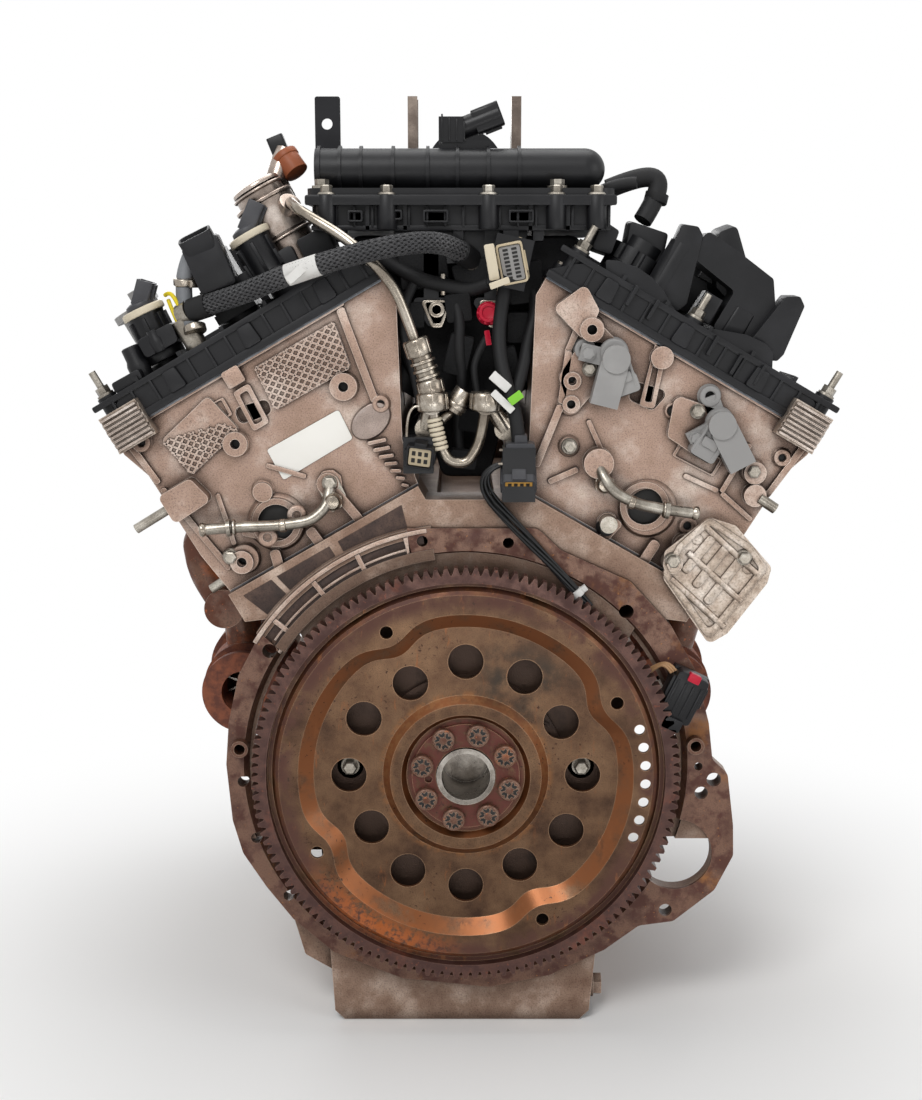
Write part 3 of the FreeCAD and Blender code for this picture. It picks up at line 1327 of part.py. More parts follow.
def front_cover():
    shell = prism(front_outline(0), block_length, chest_end + 4)
    hollow = prism(front_outline(5), block_length - 1, chest_end)
    boss = ring_y(0, 0, chest_end - 14, chest_end + 8, 36, 26 + gap)
    ribs = [box(-3, 3, chest_end, chest_end + 9, 60, 250)]
    for sign in (-1, 1):
        rib = box(-3, 3, chest_end, chest_end + 9, 60, 330)
        rib.rotate(V(0, 0, 0), V(0, 1, 0), sign * 35)
        ribs.append(rib)
    pump_seat = along_y(0, pump_axis_z, chest_end, chest_end + 10, 44)
    shell = join([shell.cut(hollow), boss, pump_seat] + ribs)
    cuts = [along_y(0, 0, block_length - 1, chest_end + 20, 26 + gap)]
    return largest(clear_of(minus(shell, cuts), ["cam_cover_left", "cam_cover_right", "cylinder_head_left",
                                                "cylinder_head_right", "cylinder_block", "oil_pan"]))


def water_pump():
    y = chest_end + 10
    body = join([along_y(0, pump_axis_z, y, y + 12, 42), along_y(0, pump_axis_z, y + 12, y + 22, 20),
                 rod((0, y + 8, pump_axis_z), (70, y + 8, pump_axis_z + 45), 14)])
    return clear_of(body.cut(along_y(0, pump_axis_z, y + 4, y + 23, 8 + running_clear)), ["front_cover"])


def pump_pulley():
    y = chest_end + 32 + gap
    x, z = 0, pump_axis_z
    rim = join([along_y(x, z, y, y + 24, 52).cut(along_y(x, z, y + 4, y + 25, 46)),
                along_y(x, z, y - 17, y + 5, 8)])
    grooves = [ring_y(x, z, y + 6 + 4 * k, y + 8 + 4 * k, 53, 50) for k in range(4)]
    return minus(rim, grooves)


def toothed_wheel(x, z, y0, count, tip_r):
    """A chain sprocket with flat-topped teeth."""
    teeth = []
    for k in range(count):
        for part, r in ((-0.36, tip_r - 3), (-0.12, tip_r), (0.12, tip_r), (0.36, tip_r - 3)):
            a = 2 * math.pi * (k + part) / count
            teeth.append((x + r * math.cos(a), z + r * math.sin(a)))
    return prism(teeth, y0, y0 + sprocket_t)


def phaser(side, kind):
    """A cam phaser with its sprockets, cover screws and centre bolt."""
    y0 = block_length + 5
    y1 = y0 + phaser_width
    x, _, z = at(side, cam_m[kind], 0, cam_n)
    parts = [along_y(x, z, y0, y1, phaser_r - 10), toothed_wheel(x, z, chain_planes[-side], 36, phaser_r)]
    if kind == "intake":
        parts.append(toothed_wheel(x, z, chain_planes[side], 36, phaser_r))
    for k in range(4):
        a = math.radians(45 + 90 * k)
        bx, bz = x + 28 * math.cos(a), z + 28 * math.sin(a)
        parts.append(along_y(bx, bz, y1, y1 + 2, 5))
    parts.append(hexagon((x, y1, z), (x, y1 + 3, z), 24))
    return join(parts)


def crank_sprockets():
    """Two rows of teeth, one for each bank's chain, on one sleeve."""
    sleeve = along_y(0, 0, block_length + 7.5, chest_end - 6, crank_wheel_r - 5)
    rows = [toothed_wheel(0, 0, y0, 18, crank_wheel_r) for y0 in chain_planes.values()]
    return join([sleeve] + rows)


def loop_hull(c0, r0, c1, r1, y0, y1, grow):
    """The hull of two wheels in one plane, as a solid from y0 to y1."""
    a, b = V(c0[0], y0, c0[1]), V(c1[0], y0, c1[1])
    along = b - a
    far = along.Length
    along.normalize()
    across = V(-along.z, 0, along.x)
    lean = math.asin((r0 - r1) / far)
    sides = []
    for sign in (1, -1):
        normal = across * (sign * math.cos(lean)) + along * math.sin(lean)
        sides.append((a + normal * (r0 + grow), b + normal * (r1 + grow)))
    edges = [Part.LineSegment(sides[0][0], sides[0][1]).toShape(),
             Part.Arc(sides[0][1], b + along * (r1 + grow), sides[1][1]).toShape(),
             Part.LineSegment(sides[1][1], sides[1][0]).toShape(),
             Part.Arc(sides[1][0], a - along * (r0 + grow), sides[0][0]).toShape()]
    return Part.Face(Part.Wire(edges)).extrude(V(0, y1 - y0, 0))


def loops():
    """Every chain loop: its two centres, their radii and its plane."""
    found = []
    for side in (-1, 1):
        intake = at(side, cam_m["intake"], 0, cam_n)
        exhaust = at(side, cam_m["exhaust"], 0, cam_n)
        found.append(((0, 0), crank_wheel_r, (intake[0], intake[2]), phaser_r, chain_planes[side]))
        found.append(((intake[0], intake[2]), phaser_r, (exhaust[0], exhaust[2]), phaser_r + 0.001,
                      chain_planes[-side]))
    return found


def timing_chains():
    chains = []
    for c0, r0, c1, r1, y0 in loops():
        band = loop_hull(c0, r0, c1, r1, y0 - 1, y0 + sprocket_t + 1, gap + chain_t)
        chains.append(band.cut(loop_hull(c0, r0, c1, r1, y0 - 2, y0 + sprocket_t + 2, gap)))
    return chains


def chain_guides():
    """A curved-face rail along the outer run of each crank chain."""
    guides = []
    for side in (-1, 1):
        intake = at(side, cam_m["intake"], 0, cam_n)
        c1 = (intake[0], intake[2])
        y0 = chain_planes[side]
        clear = gap + chain_t + gap
        bar = loop_hull((0, 0), crank_wheel_r, c1, phaser_r, block_length, y0 + sprocket_t + 3, clear + 7)
        bar = bar.cut(loop_hull((0, 0), crank_wheel_r, c1, phaser_r, block_length - 1, y0 + sprocket_t + 4, clear))
        lean = math.degrees(math.atan2(c1[0], c1[1]))
        keep = box(20, 150, block_length - 1, y0 + 20, 90, 270)
        if side < 0:
            keep = box(-150, -20, block_length - 1, y0 + 20, 90, 270)
        keep.rotate(V(0, 0, 0), V(0, 1, 0), lean)
        guides.append(largest(bar.common(keep)))
    return guides


# Build every sub-part

def build():
    add("flexplate", flexplate())
    add("clamp_disc", clamp_disc())
    add("spline_bolts", *spline_bolts())
    add("ring_gear", ring_gear())
    shaft = join([crankshaft(), pilot_collar(), crank_sprockets()])
    add("crankshaft", shaft)
    add("damper", *damper())
    for side, name in banks:
        for row in range(3):
            add("piston_%s_%d" % (name, row + 1), *piston(side, row))
    add("separator_plate", separator_plate())
    add("cylinder_block", cylinder_block())
    add("main_caps", *main_caps(), *cap_bolts())
    add("seal_retainer", seal_retainer(), *retainer_bolts())
    add("dowels", *dowels())
    add("oil_pan", oil_pan(), drain_plug())
    add("oil_pump", oil_pump(), oil_pickup())
    add("head_gaskets", *head_gaskets())
    add("cam_caps", *(cam_caps(-1) + cam_caps(1)))
    for side, name in banks:
        add("cylinder_head_" + name, cylinder_head(side))
    for side, name in banks:
        for kind in ("intake", "exhaust"):
            add("camshaft_%s_%s" % (kind, name), join([camshaft(side, kind), phaser(side, kind)]))
        add("cam_cover_" + name, cam_cover(side))
    add("timing_chains", *timing_chains())
    add("chain_guides", *chain_guides())
    add("cover_fasteners", *(tall_studs() + small_bolts()))
    add("coils", *[coil(side, row) for side, name in banks for row in range(3)])
    add("spark_plugs", *[spark_plug(side, row) for side, name in banks for row in range(3)])
    add("oil_filler_cap", oil_filler_cap())
    add("vent_box", vent_box())
    add("fuel_pump", fuel_pump())
    add("fuel_lines", clear_of(fuel_lines(), ["fuel_pump"]))
    add("fuel_rails", *fuel_rails())
    add("injectors", *injectors())
    add("intake_lower", intake_lower())
    add("intake_upper", intake_upper())
    add("throttle_body", throttle_body())
    add("throttle_plate", throttle_plate())
    add("map_sensor", map_sensor())
    add("upright_brackets", *upright_brackets())
    add("braided_hose", braided_hose_shape())
    add("hose_fittings", *hose_fittings())
    add("harness", *harness())
    add("rear_fittings", *(coolant_tubes() + rear_plugs()))
    add("cam_sensors", *(cam_sensors() + [cam_solenoid()]))
    add("heat_shields", *heat_shields())
    add("connectors", *connectors())
    add("turbochargers", turbocharger(-1), turbocharger(1))
    add("exhaust_logs", exhaust_log(-1), exhaust_log(1))
    for side, name in banks:
        add("turbo_rotor_" + name, turbo_rotor(side))
    add("front_cover", front_cover())
    add("water_pump", water_pump())
    add("pump_pulley", pump_pulley())


build()
os.makedirs("parts", exist_ok=True)
for name, solids in nodes.items():
    shape = solids[0] if len(solids) == 1 else Part.makeCompound(solids)
    shape.exportStep("parts/" + name + ".step")
    print(name, len(solids), round(sum(s.Volume for s in solids) / 1000, 1), "cm3")
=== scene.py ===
import math

import bmesh
import bpy
from mathutils import Matrix, Vector


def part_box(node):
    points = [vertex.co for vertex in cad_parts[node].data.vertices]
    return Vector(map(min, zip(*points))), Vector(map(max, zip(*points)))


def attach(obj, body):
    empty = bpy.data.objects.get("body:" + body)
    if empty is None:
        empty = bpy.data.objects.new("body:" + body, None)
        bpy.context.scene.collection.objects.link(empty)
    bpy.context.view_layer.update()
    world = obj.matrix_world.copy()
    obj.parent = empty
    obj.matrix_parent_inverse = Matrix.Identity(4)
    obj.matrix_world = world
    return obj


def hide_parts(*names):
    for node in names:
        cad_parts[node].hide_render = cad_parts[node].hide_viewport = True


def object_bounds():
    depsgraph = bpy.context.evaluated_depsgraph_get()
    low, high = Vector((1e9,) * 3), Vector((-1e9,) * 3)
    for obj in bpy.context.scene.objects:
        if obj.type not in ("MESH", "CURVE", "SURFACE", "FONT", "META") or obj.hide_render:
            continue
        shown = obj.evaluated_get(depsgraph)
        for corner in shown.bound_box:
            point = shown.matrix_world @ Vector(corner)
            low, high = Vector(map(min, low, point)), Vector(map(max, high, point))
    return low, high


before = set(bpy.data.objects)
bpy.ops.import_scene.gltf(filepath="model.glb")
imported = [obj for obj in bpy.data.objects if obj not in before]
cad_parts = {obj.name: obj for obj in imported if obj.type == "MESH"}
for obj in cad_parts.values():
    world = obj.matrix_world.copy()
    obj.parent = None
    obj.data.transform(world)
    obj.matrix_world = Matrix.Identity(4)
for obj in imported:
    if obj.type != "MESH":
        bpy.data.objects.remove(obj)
cad_low, cad_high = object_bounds()

# Sizes are in millimetres in the engine's own frame: the origin is on the crankshaft axis at the rear face
# of the block, +Y runs to the front of the engine and +Z is up. Materials, camera and lamps are in metres.
MM = 0.001
TURN = 2 * math.pi
ENGINE = "engine"
CRANK = "crank"
LEFT, RIGHT = -1, 1
SIDE_NAMES = {LEFT: "left", RIGHT: "right"}
BANK_DEGREES = 30
BANK_ANGLE = math.radians(BANK_DEGREES)

# The camera stands where the photograph was taken from. Its place and lens were fitted to the picture.
CAMERA_PLACE = (-0.0039, -1.20, 0.4093)
CAMERA_DIP = math.radians(10.6)
CAMERA_LENS = 49.26
FLOOR_HALF = 6.0
WORLD_STRENGTH = 0.34


def bank(side, m, y, n):
    """A place on a cylinder bank: m is outboard of the bank's axis and n is the height along it."""
    sine, cosine = math.sin(BANK_ANGLE), math.cos(BANK_ANGLE)
    return Vector((side * (sine * n + cosine * m), y, cosine * n - sine * m))


def circle(radius, count, first=0.0):
    """The corners of a regular polygon, from an angle on."""
    turns = [first + TURN * k / count for k in range(count)]
    return [(radius * math.cos(a), radius * math.sin(a)) for a in turns]


def stand(name, data):
    """An object of some data, in the scene."""
    made = bpy.data.objects.new(name, data)
    bpy.context.scene.collection.objects.link(made)
    return made


# Camera, floor and light

def make_camera():
    data = bpy.data.cameras.new("camera")
    data.sensor_fit = "VERTICAL"
    data.sensor_height = 36
    data.lens = CAMERA_LENS
    camera = stand("camera", data)
    camera.location = CAMERA_PLACE
    camera.rotation_euler = (math.radians(90) - CAMERA_DIP, 0, 0)
    bpy.context.scene.camera = camera


def make_lamp(name, place, size, power, target=(0, 0, 0.15)):
    data = bpy.data.lights.new(name, "AREA")
    data.shape = "RECTANGLE"
    data.size, data.size_y = size
    data.energy = power
    lamp = stand(name, data)
    lamp.location = place
    lamp.rotation_euler = (Vector(target) - Vector(place)).to_track_quat("-Z", "Y").to_euler()


# Materials. One function turns a hex colour to linear, and one adds a node.
MATH, VECTOR_MATH, RANGE = "ShaderNodeMath", "ShaderNodeVectorMath", "ShaderNodeMapRange"
NOISE, RAMP, MIX = "ShaderNodeTexNoise", "ShaderNodeValToRGB", "ShaderNodeMix"
SEPARATE, COMBINE = "ShaderNodeSeparateXYZ", "ShaderNodeCombineXYZ"
ATTRIBUTE = "GeometryNodeInputNamedAttribute"
# The dark brown of grime and painted shade in corners and holes.
DIRT_AND_SHADE = "#3A2618"


def linear(hex_colour):
    channels = [int(hex_colour[i:i + 2], 16) / 255 for i in (1, 3, 5)]
    return [c / 12.92 if c <= 0.04045 else ((c + 0.055) / 1.055) ** 2.4 for c in channels] + [1.0]


def grey(value):
    return [value, value, value, 1.0]


def feed(tree, node, inputs):
    """Set or link a node's inputs by name or number. A list of sockets all go into one input."""
    for name, value in inputs.items():
        many = isinstance(value, list) and isinstance(value[0], bpy.types.NodeSocket)
        for each in value if many else [value]:
            if isinstance(each, bpy.types.NodeSocket):
                tree.links.new(each, node.inputs[name])
            else:
                node.inputs[name].default_value = each


def put(tree, kind, inputs=None, out=0, stops=(), **settings):
    """Add a node with its settings, inputs and colour stops. It gives one output, or all of them for None."""
    made = tree.nodes.new(kind)
    for name, value in settings.items():
        setattr(made, name, value)
    feed(tree, made, inputs or {})
    for _ in stops[2:]:
        made.color_ramp.elements.new(0.5)
    for i, (place, colour) in enumerate(stops):
        made.color_ramp.elements[i].position = place
        made.color_ramp.elements[i].color = colour
    return made.outputs if out is None else made.outputs[out]


def blank_material(name):
    material = bpy.data.materials.new(name)
    material.use_nodes = True
    tree = material.node_tree
    return material, tree, tree.nodes["Principled BSDF"], put(tree, "ShaderNodeTexCoord", out="Object")


def mask(tree, value, low, high, *others):
    """0 up to low and 1 from high on, smooth between them, times the other masks."""
    found = put(tree, RANGE, {"Value": value, "From Min": low, "From Max": high},
                interpolation_type="SMOOTHSTEP")
    for other in others:
        found = put(tree, MATH, {0: found, 1: other}, operation="MULTIPLY")
    return found


def window(tree, value, low, high, soft):
    """1 between low and high, fading over soft at both ends."""
    return mask(tree, value, low - soft, low + soft, mask(tree, value, high + soft, high - soft))


def patches(tree, place, size_mm, detail, rough, low, high, *others):
    """A mask of ragged patches about size_mm across, fewer where low and high are higher."""
    field = put(tree, NOISE, {"Vector": place, "Scale": 1 / (size_mm * MM), "Detail": detail,
                              "Roughness": rough})
    return mask(tree, field, low, high, *others)


def coats(tree, shade, *layers):
    """Lay colours over a shade, each where its mask is 1."""
    for amount, colour in layers:
        colour = linear(colour) if isinstance(colour, str) else colour
        shade = put(tree, MIX, {"Factor": amount, 6: shade, 7: colour}, 2, data_type="RGBA")
    return shade


def crevice(tree, reach_mm):
    """1 in the open and 0 in corners and holes, where grime and painted shade are laid on."""
    air = put(tree, "ShaderNodeAmbientOcclusion", {"Distance": reach_mm * MM}, "AO", samples=6)
    return mask(tree, air, 0.35, 0.95)


def edge_wear_and_highlight(tree, width_mm, amount):
    """Up to amount along sharp edges, from the way a rounded normal leaves the flat one: rubbed wear and a
    painted highlight.
    """
    round_normal = put(tree, "ShaderNodeBevel", {"Radius": width_mm * MM}, samples=4)
    flat_normal = put(tree, "ShaderNodeNewGeometry", out="Normal")
    same = put(tree, VECTOR_MATH, {0: round_normal, 1: flat_normal}, "Value", operation="DOT_PRODUCT")
    return mask(tree, same, 0.995, 0.88, amount)


def polar(tree, place):
    """Distance from the crank axis in millimetres, and the turn round it in degrees."""
    x, _, z = put(tree, SEPARATE, {0: place}, None)
    distance = put(tree, VECTOR_MATH, {0: put(tree, COMBINE, {0: x, 2: z})}, "Value", operation="LENGTH")
    angle = put(tree, MATH, {0: z, 1: x}, operation="ARCTAN2")
    return (put(tree, MATH, {0: distance, 1: 1 / MM}, operation="MULTIPLY"),
            put(tree, MATH, {0: angle, 1: 360 / TURN}, operation="MULTIPLY"))


def metal(name, colour, dark, bright, grain_mm=1.4, grain_depth=0.12, metallic=0.75, rough=(0.34, 0.56),
          blotch_mm=38, reach_mm=14, edge_mm=0.9, edge_amount=0.5, dirt_and_shade=0.65):
    """A metal surface: blotches of tone, fine grain in tone and relief, grime and painted shade in corners,
    rubbed edges lightened by a painted highlight.
    """
    material, tree, shader, place = blank_material(name)
    blotch, grain = (put(tree, NOISE, {"Vector": place, "Scale": 1000 / size, "Detail": detail,
                                       "Roughness": r})
                     for size, detail, r in ((blotch_mm, 4.0, 0.6), (grain_mm, 3.0, 0.7)))
    tone = put(tree, RAMP, {"Fac": blotch}, stops=[(0.30, linear(dark)), (0.50, linear(colour)),
                                                   (0.72, linear(bright))])
    speck = put(tree, RAMP, {"Fac": grain}, stops=[(0.28, grey(0.42)), (0.5, grey(0.92)), (0.75, grey(1.0))])
    shade = put(tree, MIX, {"Factor": 1.0, 6: tone, 7: speck}, 2, data_type="RGBA", blend_type="MULTIPLY")
    # Corners and holes darkened towards dark brown: grime, and painted shade.
    if dirt_and_shade > 0:
        soiled_and_shaded = put(tree, MIX, {"Factor": dirt_and_shade, 6: shade, 7: linear(DIRT_AND_SHADE)}, 2, data_type="RGBA",
                     blend_type="MULTIPLY")
        shade = coats(tree, soiled_and_shaded, (crevice(tree, reach_mm), shade))
    # Sharp edges lightened: rubbed wear, and a painted highlight.
    if edge_amount > 0:
        shade = coats(tree, shade, (edge_wear_and_highlight(tree, edge_mm, edge_amount), bright))
    gloss = put(tree, RANGE, {"Value": blotch, "From Min": 0.3, "From Max": 0.7, "To Min": rough[0],
                              "To Max": rough[1]})
    relief = put(tree, "ShaderNodeBump", {"Height": grain, "Distance": grain_depth * MM, "Strength": 1.0})
    feed(tree, shader, {"Base Color": shade, "Roughness": gloss, "Metallic": metallic, "Normal": relief})
    return material, tree, shader, place, shade


def rusty(name, steel, brown, orange, low, high, metallic=0.6, grain_mm=1.2, spot_mm=16, bright="#B9A48E",
          edge_amount=0.55, orange_mm=42):
    """Steel under light rust: a brown film in patches, orange where it is thick, bare steel on edges that are
    lightened by a painted highlight.
    """
    material, tree, shader, place, shade = metal(name, steel, brown, steel, grain_mm, 0.06, metallic,
                                                 (0.34, 0.5), 30, 9, 0.8, 0, 0.5)
    film = patches(tree, place, spot_mm, 6.0, 0.62, low, high)
    thick = patches(tree, place, orange_mm, 8.0, 0.66, 0.56, 0.70)
    specks = patches(tree, place, 3.0, 2.0, 0.5, 0.66, 0.72)
    shade = coats(tree, shade, (film, brown), (thick, orange), (specks, orange),
                  (edge_wear_and_highlight(tree, 0.8, edge_amount), bright))
    dry = put(tree, MATH, {0: film, 1: thick}, operation="MAXIMUM")
    feed(tree, shader, {"Base Color": shade,
                        "Roughness": put(tree, RANGE, {"Value": dry, "To Min": 0.36, "To Max": 0.72}),
                        "Metallic": put(tree, RANGE, {"Value": dry, "To Min": metallic, "To Max": 0.15})})
    return material


def plastic(name, colour, dust_wear_and_highlight, rough=0.42, grain_mm=0.9, grain_depth=0.03, dust=0.3, edge_amount=0.35):
    """Moulded plastic: a fine spark-eroded grain, dust that lies in patches, and rubbed edges lightened by a
    painted highlight.
    """
    material, tree, shader, place = blank_material(name)
    patch, grain = (put(tree, NOISE, {"Vector": place, "Scale": 1000 / size, "Detail": detail,
                                      "Roughness": 0.6})
                    for size, detail in ((60, 4.0), (grain_mm, 2.0)))
    shade = coats(tree, linear(colour), (mask(tree, patch, 0.45, 0.75, dust), dust_wear_and_highlight),
                  (edge_wear_and_highlight(tree, 0.7, edge_amount), dust_wear_and_highlight))
    gloss = put(tree, RANGE, {"Value": patch, "From Min": 0.3, "From Max": 0.7, "To Min": rough - 0.06,
                              "To Max": rough + 0.1})
    relief = put(tree, "ShaderNodeBump", {"Height": grain, "Distance": grain_depth * MM, "Strength": 1.0})
    feed(tree, shader, {"Base Color": shade, "Roughness": gloss, "Specular IOR Level": 0.28,
                        "Normal": relief})
    return material


def seen_rays(tree):
    """1 for the rays that the eye gets straight, by reflection or through glass."""
    rays = put(tree, "ShaderNodeLightPath", out=None)
    seen = put(tree, MATH, {0: rays["Is Camera Ray"], 1: rays["Is Glossy Ray"]}, operation="MAXIMUM")
    return put(tree, MATH, {0: seen, 1: rays["Is Transmission Ray"]}, operation="MAXIMUM")


def make_floor():
    """Matt white paper, which fades to pure white away from the engine so that no horizon shows."""
    low = cad_low.z - 0.5 * MM
    mesh = bpy.data.meshes.new("floor")
    corners = [(x * FLOOR_HALF, y * FLOOR_HALF, low) for x, y in ((-1, -1), (1, -1), (1, 1), (-1, 1))]
    mesh.from_pydata(corners, [], [(0, 1, 2, 3)])
    material, tree, shader, place = blank_material("matt paper floor")
    feed(tree, shader, {"Base Color": linear("#F2F1EF"), "Roughness": 0.9})
    white = put(tree, "ShaderNodeEmission", {"Color": grey(1.0), "Strength": 1.0})
    distance = put(tree, VECTOR_MATH, {0: place}, "Value", operation="LENGTH")
    part = mask(tree, distance, 0.35, 0.9, seen_rays(tree))
    mixed = put(tree, "ShaderNodeMixShader", {0: part, 1: shader.outputs[0], 2: white})
    feed(tree, tree.nodes["Material Output"], {"Surface": mixed})
    mesh.materials.append(material)
    stand("floor", mesh)


def make_world():
    """A white background for the eye, and a dim cool sky for the light."""
    world = bpy.data.worlds.new("studio")
    world.use_nodes = True
    bpy.context.scene.world = world
    tree = world.node_tree
    tree.nodes.clear()
    white = put(tree, "ShaderNodeBackground", {"Color": grey(1.0), "Strength": 1.0})
    soft = put(tree, "ShaderNodeBackground", {"Color": linear("#E9EDF2"), "Strength": WORLD_STRENGTH})
    mixed = put(tree, "ShaderNodeMixShader", {0: seen_rays(tree), 1: soft, 2: white})
    put(tree, "ShaderNodeOutputWorld", {"Surface": mixed}, None)


make_camera()
make_world()
make_floor()
make_lamp("key above the camera", (-0.6, -1.5, 1.7), (1.0, 0.8), 25)
make_lamp("fill from the right", (1.6, -0.9, 0.7), (0.8, 1.0), 7)
make_lamp("top light", (0.1, 0.4, 1.9), (1.2, 1.2), 16)
make_lamp("front side light", (-0.5, 2.0, 1.0), (1.2, 1.0), 12)
make_lamp("low strip for the flexplate", (0.15, -1.5, -0.1), (1.4, 0.12), 3.2, (0, 0, -0.05))
bpy.context.scene.view_settings.view_transform = "Standard"

# Sand-cast aluminium: grey-brown, grainy and half dull, with bright rubbed edges that carry a painted
# highlight, and dark pockets of painted shade and grime.
CAST = metal("sand-cast aluminium", "#AB9080", "#977C6B", "#D9C8BB", 1.2, 0.34, 0.6, (0.3, 0.44), 44, 20, 1.1,
             0.85, 0.95)[0]
# Cast pads inside the hatching are a shade duller than the ground.
PAD_CAST = metal("cast pad", "#94806F", "#7A6656", "#C6B8AB", 1.3, 0.2, 0.6, (0.38, 0.52), 26, 8, 1.0, 0.5,
                 0.85)[0]
# Hollows of the casting, where the light doesn't reach.
SHADE_CAST = metal("shaded casting", "#40302A", "#2B201B", "#5E4A40", 1.4, 0.12, 0.4, (0.5, 0.65), 24, 8)[0]
# Die-cast aluminium: smoother, cooler and more even than the sand casting.
DIE_CAST = metal("die-cast aluminium", "#A19188", "#82736A", "#CFC3BB", 0.9, 0.06, 0.65, (0.3, 0.45), 50,
                 14)[0]
# Milled aluminium: bright, with a fine cutter grain.
MILLED = metal("milled aluminium", "#B0A196", "#8F8177", "#DED3CA", 0.6, 0.02, 0.85, (0.22, 0.34), 22, 8)[0]
# Zinc-plated steel: pale, slightly blue or yellow, satin.
ZINC = metal("zinc-plated steel", "#9D968B", "#7A7369", "#C9C3B8", 0.9, 0.02, 0.85, (0.26, 0.38), 16, 5, 0.7,
             0.25)[0]
# Nickel-plated crimp collars and tube nuts: warm and bright.
NICKEL = metal("nickel-plated steel", "#A2988B", "#80766A", "#CDC5B9", 0.8, 0.01, 0.92, (0.2, 0.3), 14, 4,
               0.6, 0.25)[0]
# Drawn stainless tube: clean and bright with long soft highlights.
STAINLESS = metal("drawn stainless steel", "#A49B8E", "#857B6F", "#C9C1B6", 0.9, 0.01, 0.92, (0.22, 0.32),
                  40, 6, 0.6, 0.2)[0]
# Ductile iron and chilled iron: dark grey, dull, oily.
IRON = metal("ductile iron", "#5B5753", "#3F3C39", "#8D8883", 1.2, 0.09, 0.75, (0.34, 0.5), 30, 10)[0]
# Forged steel, machined: grey and bright, with a thin oil film.
FORGED = metal("machined forged steel", "#938C84", "#6B645D", "#CBC5BC", 0.7, 0.02, 0.9, (0.22, 0.36), 24,
               8)[0]
# Aluminised sheet steel of the heat shields: pale, slightly crumpled and satin.
SHIELD = metal("aluminised sheet steel", "#B3A394", "#8F7D6E", "#DDD2C7", 2.0, 0.1, 0.7, (0.32, 0.44), 16,
               10, 0.9, 0.35, 0.7)[0]
# Multi-layer steel gasket with a grey-blue coating.
GASKET = metal("coated gasket steel", "#6A6E73", "#50545A", "#9CA0A5", 0.8, 0.02, 0.7, (0.34, 0.46), 20, 4)[0]
# Black chassis paint over steel: glossy, with grey where it is rubbed and a painted highlight along its
# edges.
PAINT = metal("black painted steel", "#1E1F21", "#151617", "#6C6C6E", 1.4, 0.03, 0.1, (0.3, 0.42), 30, 8,
              edge_amount=0.25)[0]
# Painted shade: a dark floor set in a tapped or deep hole, where no light gets in.
HOLE_SHADE = metal("dark bore", "#15120F", "#0C0A09", "#241F1B", 1.0, 0.02, 0.2, (0.5, 0.7), 20, 5,
             edge_amount=0)[0]
# Exhaust cast iron: dark brown with orange rust.
EXHAUST = rusty("rusted exhaust iron", "#6B4A38", "#5A3322", "#9A5530", 0.42, 0.58, 0.3, 1.8, 20)
# Gearbox-side plate: tan zinc coat gone brown, with ochre rust in patches.
PLATE = rusty("tanned steel plate", "#755544", "#4E2C22", "#8A5A30", 0.44, 0.60, 0.35, 1.0, 18, "#9A8270",
              0.35, 60)
# Hardened gear steel: even red-brown rust, bright where the starter rubs, with a painted highlight along its
# edges.
GEAR = rusty("rusted gear steel", "#58382E", "#3C211B", "#663828", 0.40, 0.60, 0.35, 1.0, 14, "#86695A", 0.45)
# Phosphated bolt steel: rust-brown and dull.
BOLT_RUST = rusty("phosphated bolt, rusted", "#6B4A3A", "#54301F", "#9A5A35", 0.45, 0.6, 0.4, 0.9, 6)
# Black glass-filled nylon, moulded: near black with a soft grain and pale dust.
NYLON = plastic("glass-filled nylon, moulded", "#131315", "#343437")
# PBT of plugs and sensors: smooth, self-coloured and faintly glossy.
PBT_BLACK = plastic("black PBT, moulded", "#111113", "#2C2C2F", 0.36)
PBT_GREY = plastic("grey PBT, moulded", "#8E8C8A", "#B4B2AF", 0.4)
PBT_GREY_DARK = plastic("dark grey PBT, moulded", "#3A3A3D", "#6B6B6E", 0.4)
PBT_BEIGE = plastic("beige PBT, moulded", "#B9A98C", "#D2C6AE", 0.4)
PBT_RED = plastic("red PBT, moulded", "#B3122E", "#D5455A", 0.35)
CREAM = plastic("cream PBT, moulded", "#CFC3AC", "#E3DAC6", 0.4)
# Phenolic of the fuel pump's solenoid: orange-brown, hard and faintly glossy.
PHENOLIC = plastic("orange-brown phenolic", "#8A4A2C", "#B4714D", 0.42)
# Tag tape on the harness: bright green and half matt.
GREEN_TAPE = plastic("green tag tape", "#7FC23A", "#A6DB6B", 0.5)
# Guide nylon: ivory, self-coloured and slightly glossy.
GUIDE = plastic("ivory guide nylon", "#D9CDB0", "#EFE6D0", 0.38)
# EPDM rubber: dark grey-black, matt.
RUBBER = plastic("EPDM rubber", "#131314", "#2E2D2D", 0.62, 1.2, 0.04)
# Glazed ceramic of the spark plugs: white and shiny.
CERAMIC = plastic("glazed alumina", "#E6E2DA", "#F4F1EB", 0.2, 3.0, 0.004)
# Blank sticker stock: white and slightly soiled.
LABEL = plastic("white sticker stock", "#ECE9E2", "#CFC8BB", 0.34, 4.0, 0.004, 0.35, 0.1)
# Glass-cloth and paper tape wrapped on hoses and wires: white and rough.
TAPE = plastic("white wrapping tape", "#D8D6D2", "#B3AFA9", 0.5, 0.7, 0.05, 0.5, 0.2)
# Acrylic braid over a rubber hose: black strands with a pale dusty crown.
BRAID = plastic("black woven sleeve", "#2A2A2C", "#6B6A6A", 0.55, 0.5, 0.03, 0.55, 0.5)
# Silicone seal of a plug: ochre and soft.
SEAL = plastic("ochre silicone seal", "#B98B3E", "#D6B36C", 0.45)
# Yellow nylon cord and paint marks.
YELLOW = plastic("yellow paint marker", "#D9C21B", "#EADB67", 0.45)
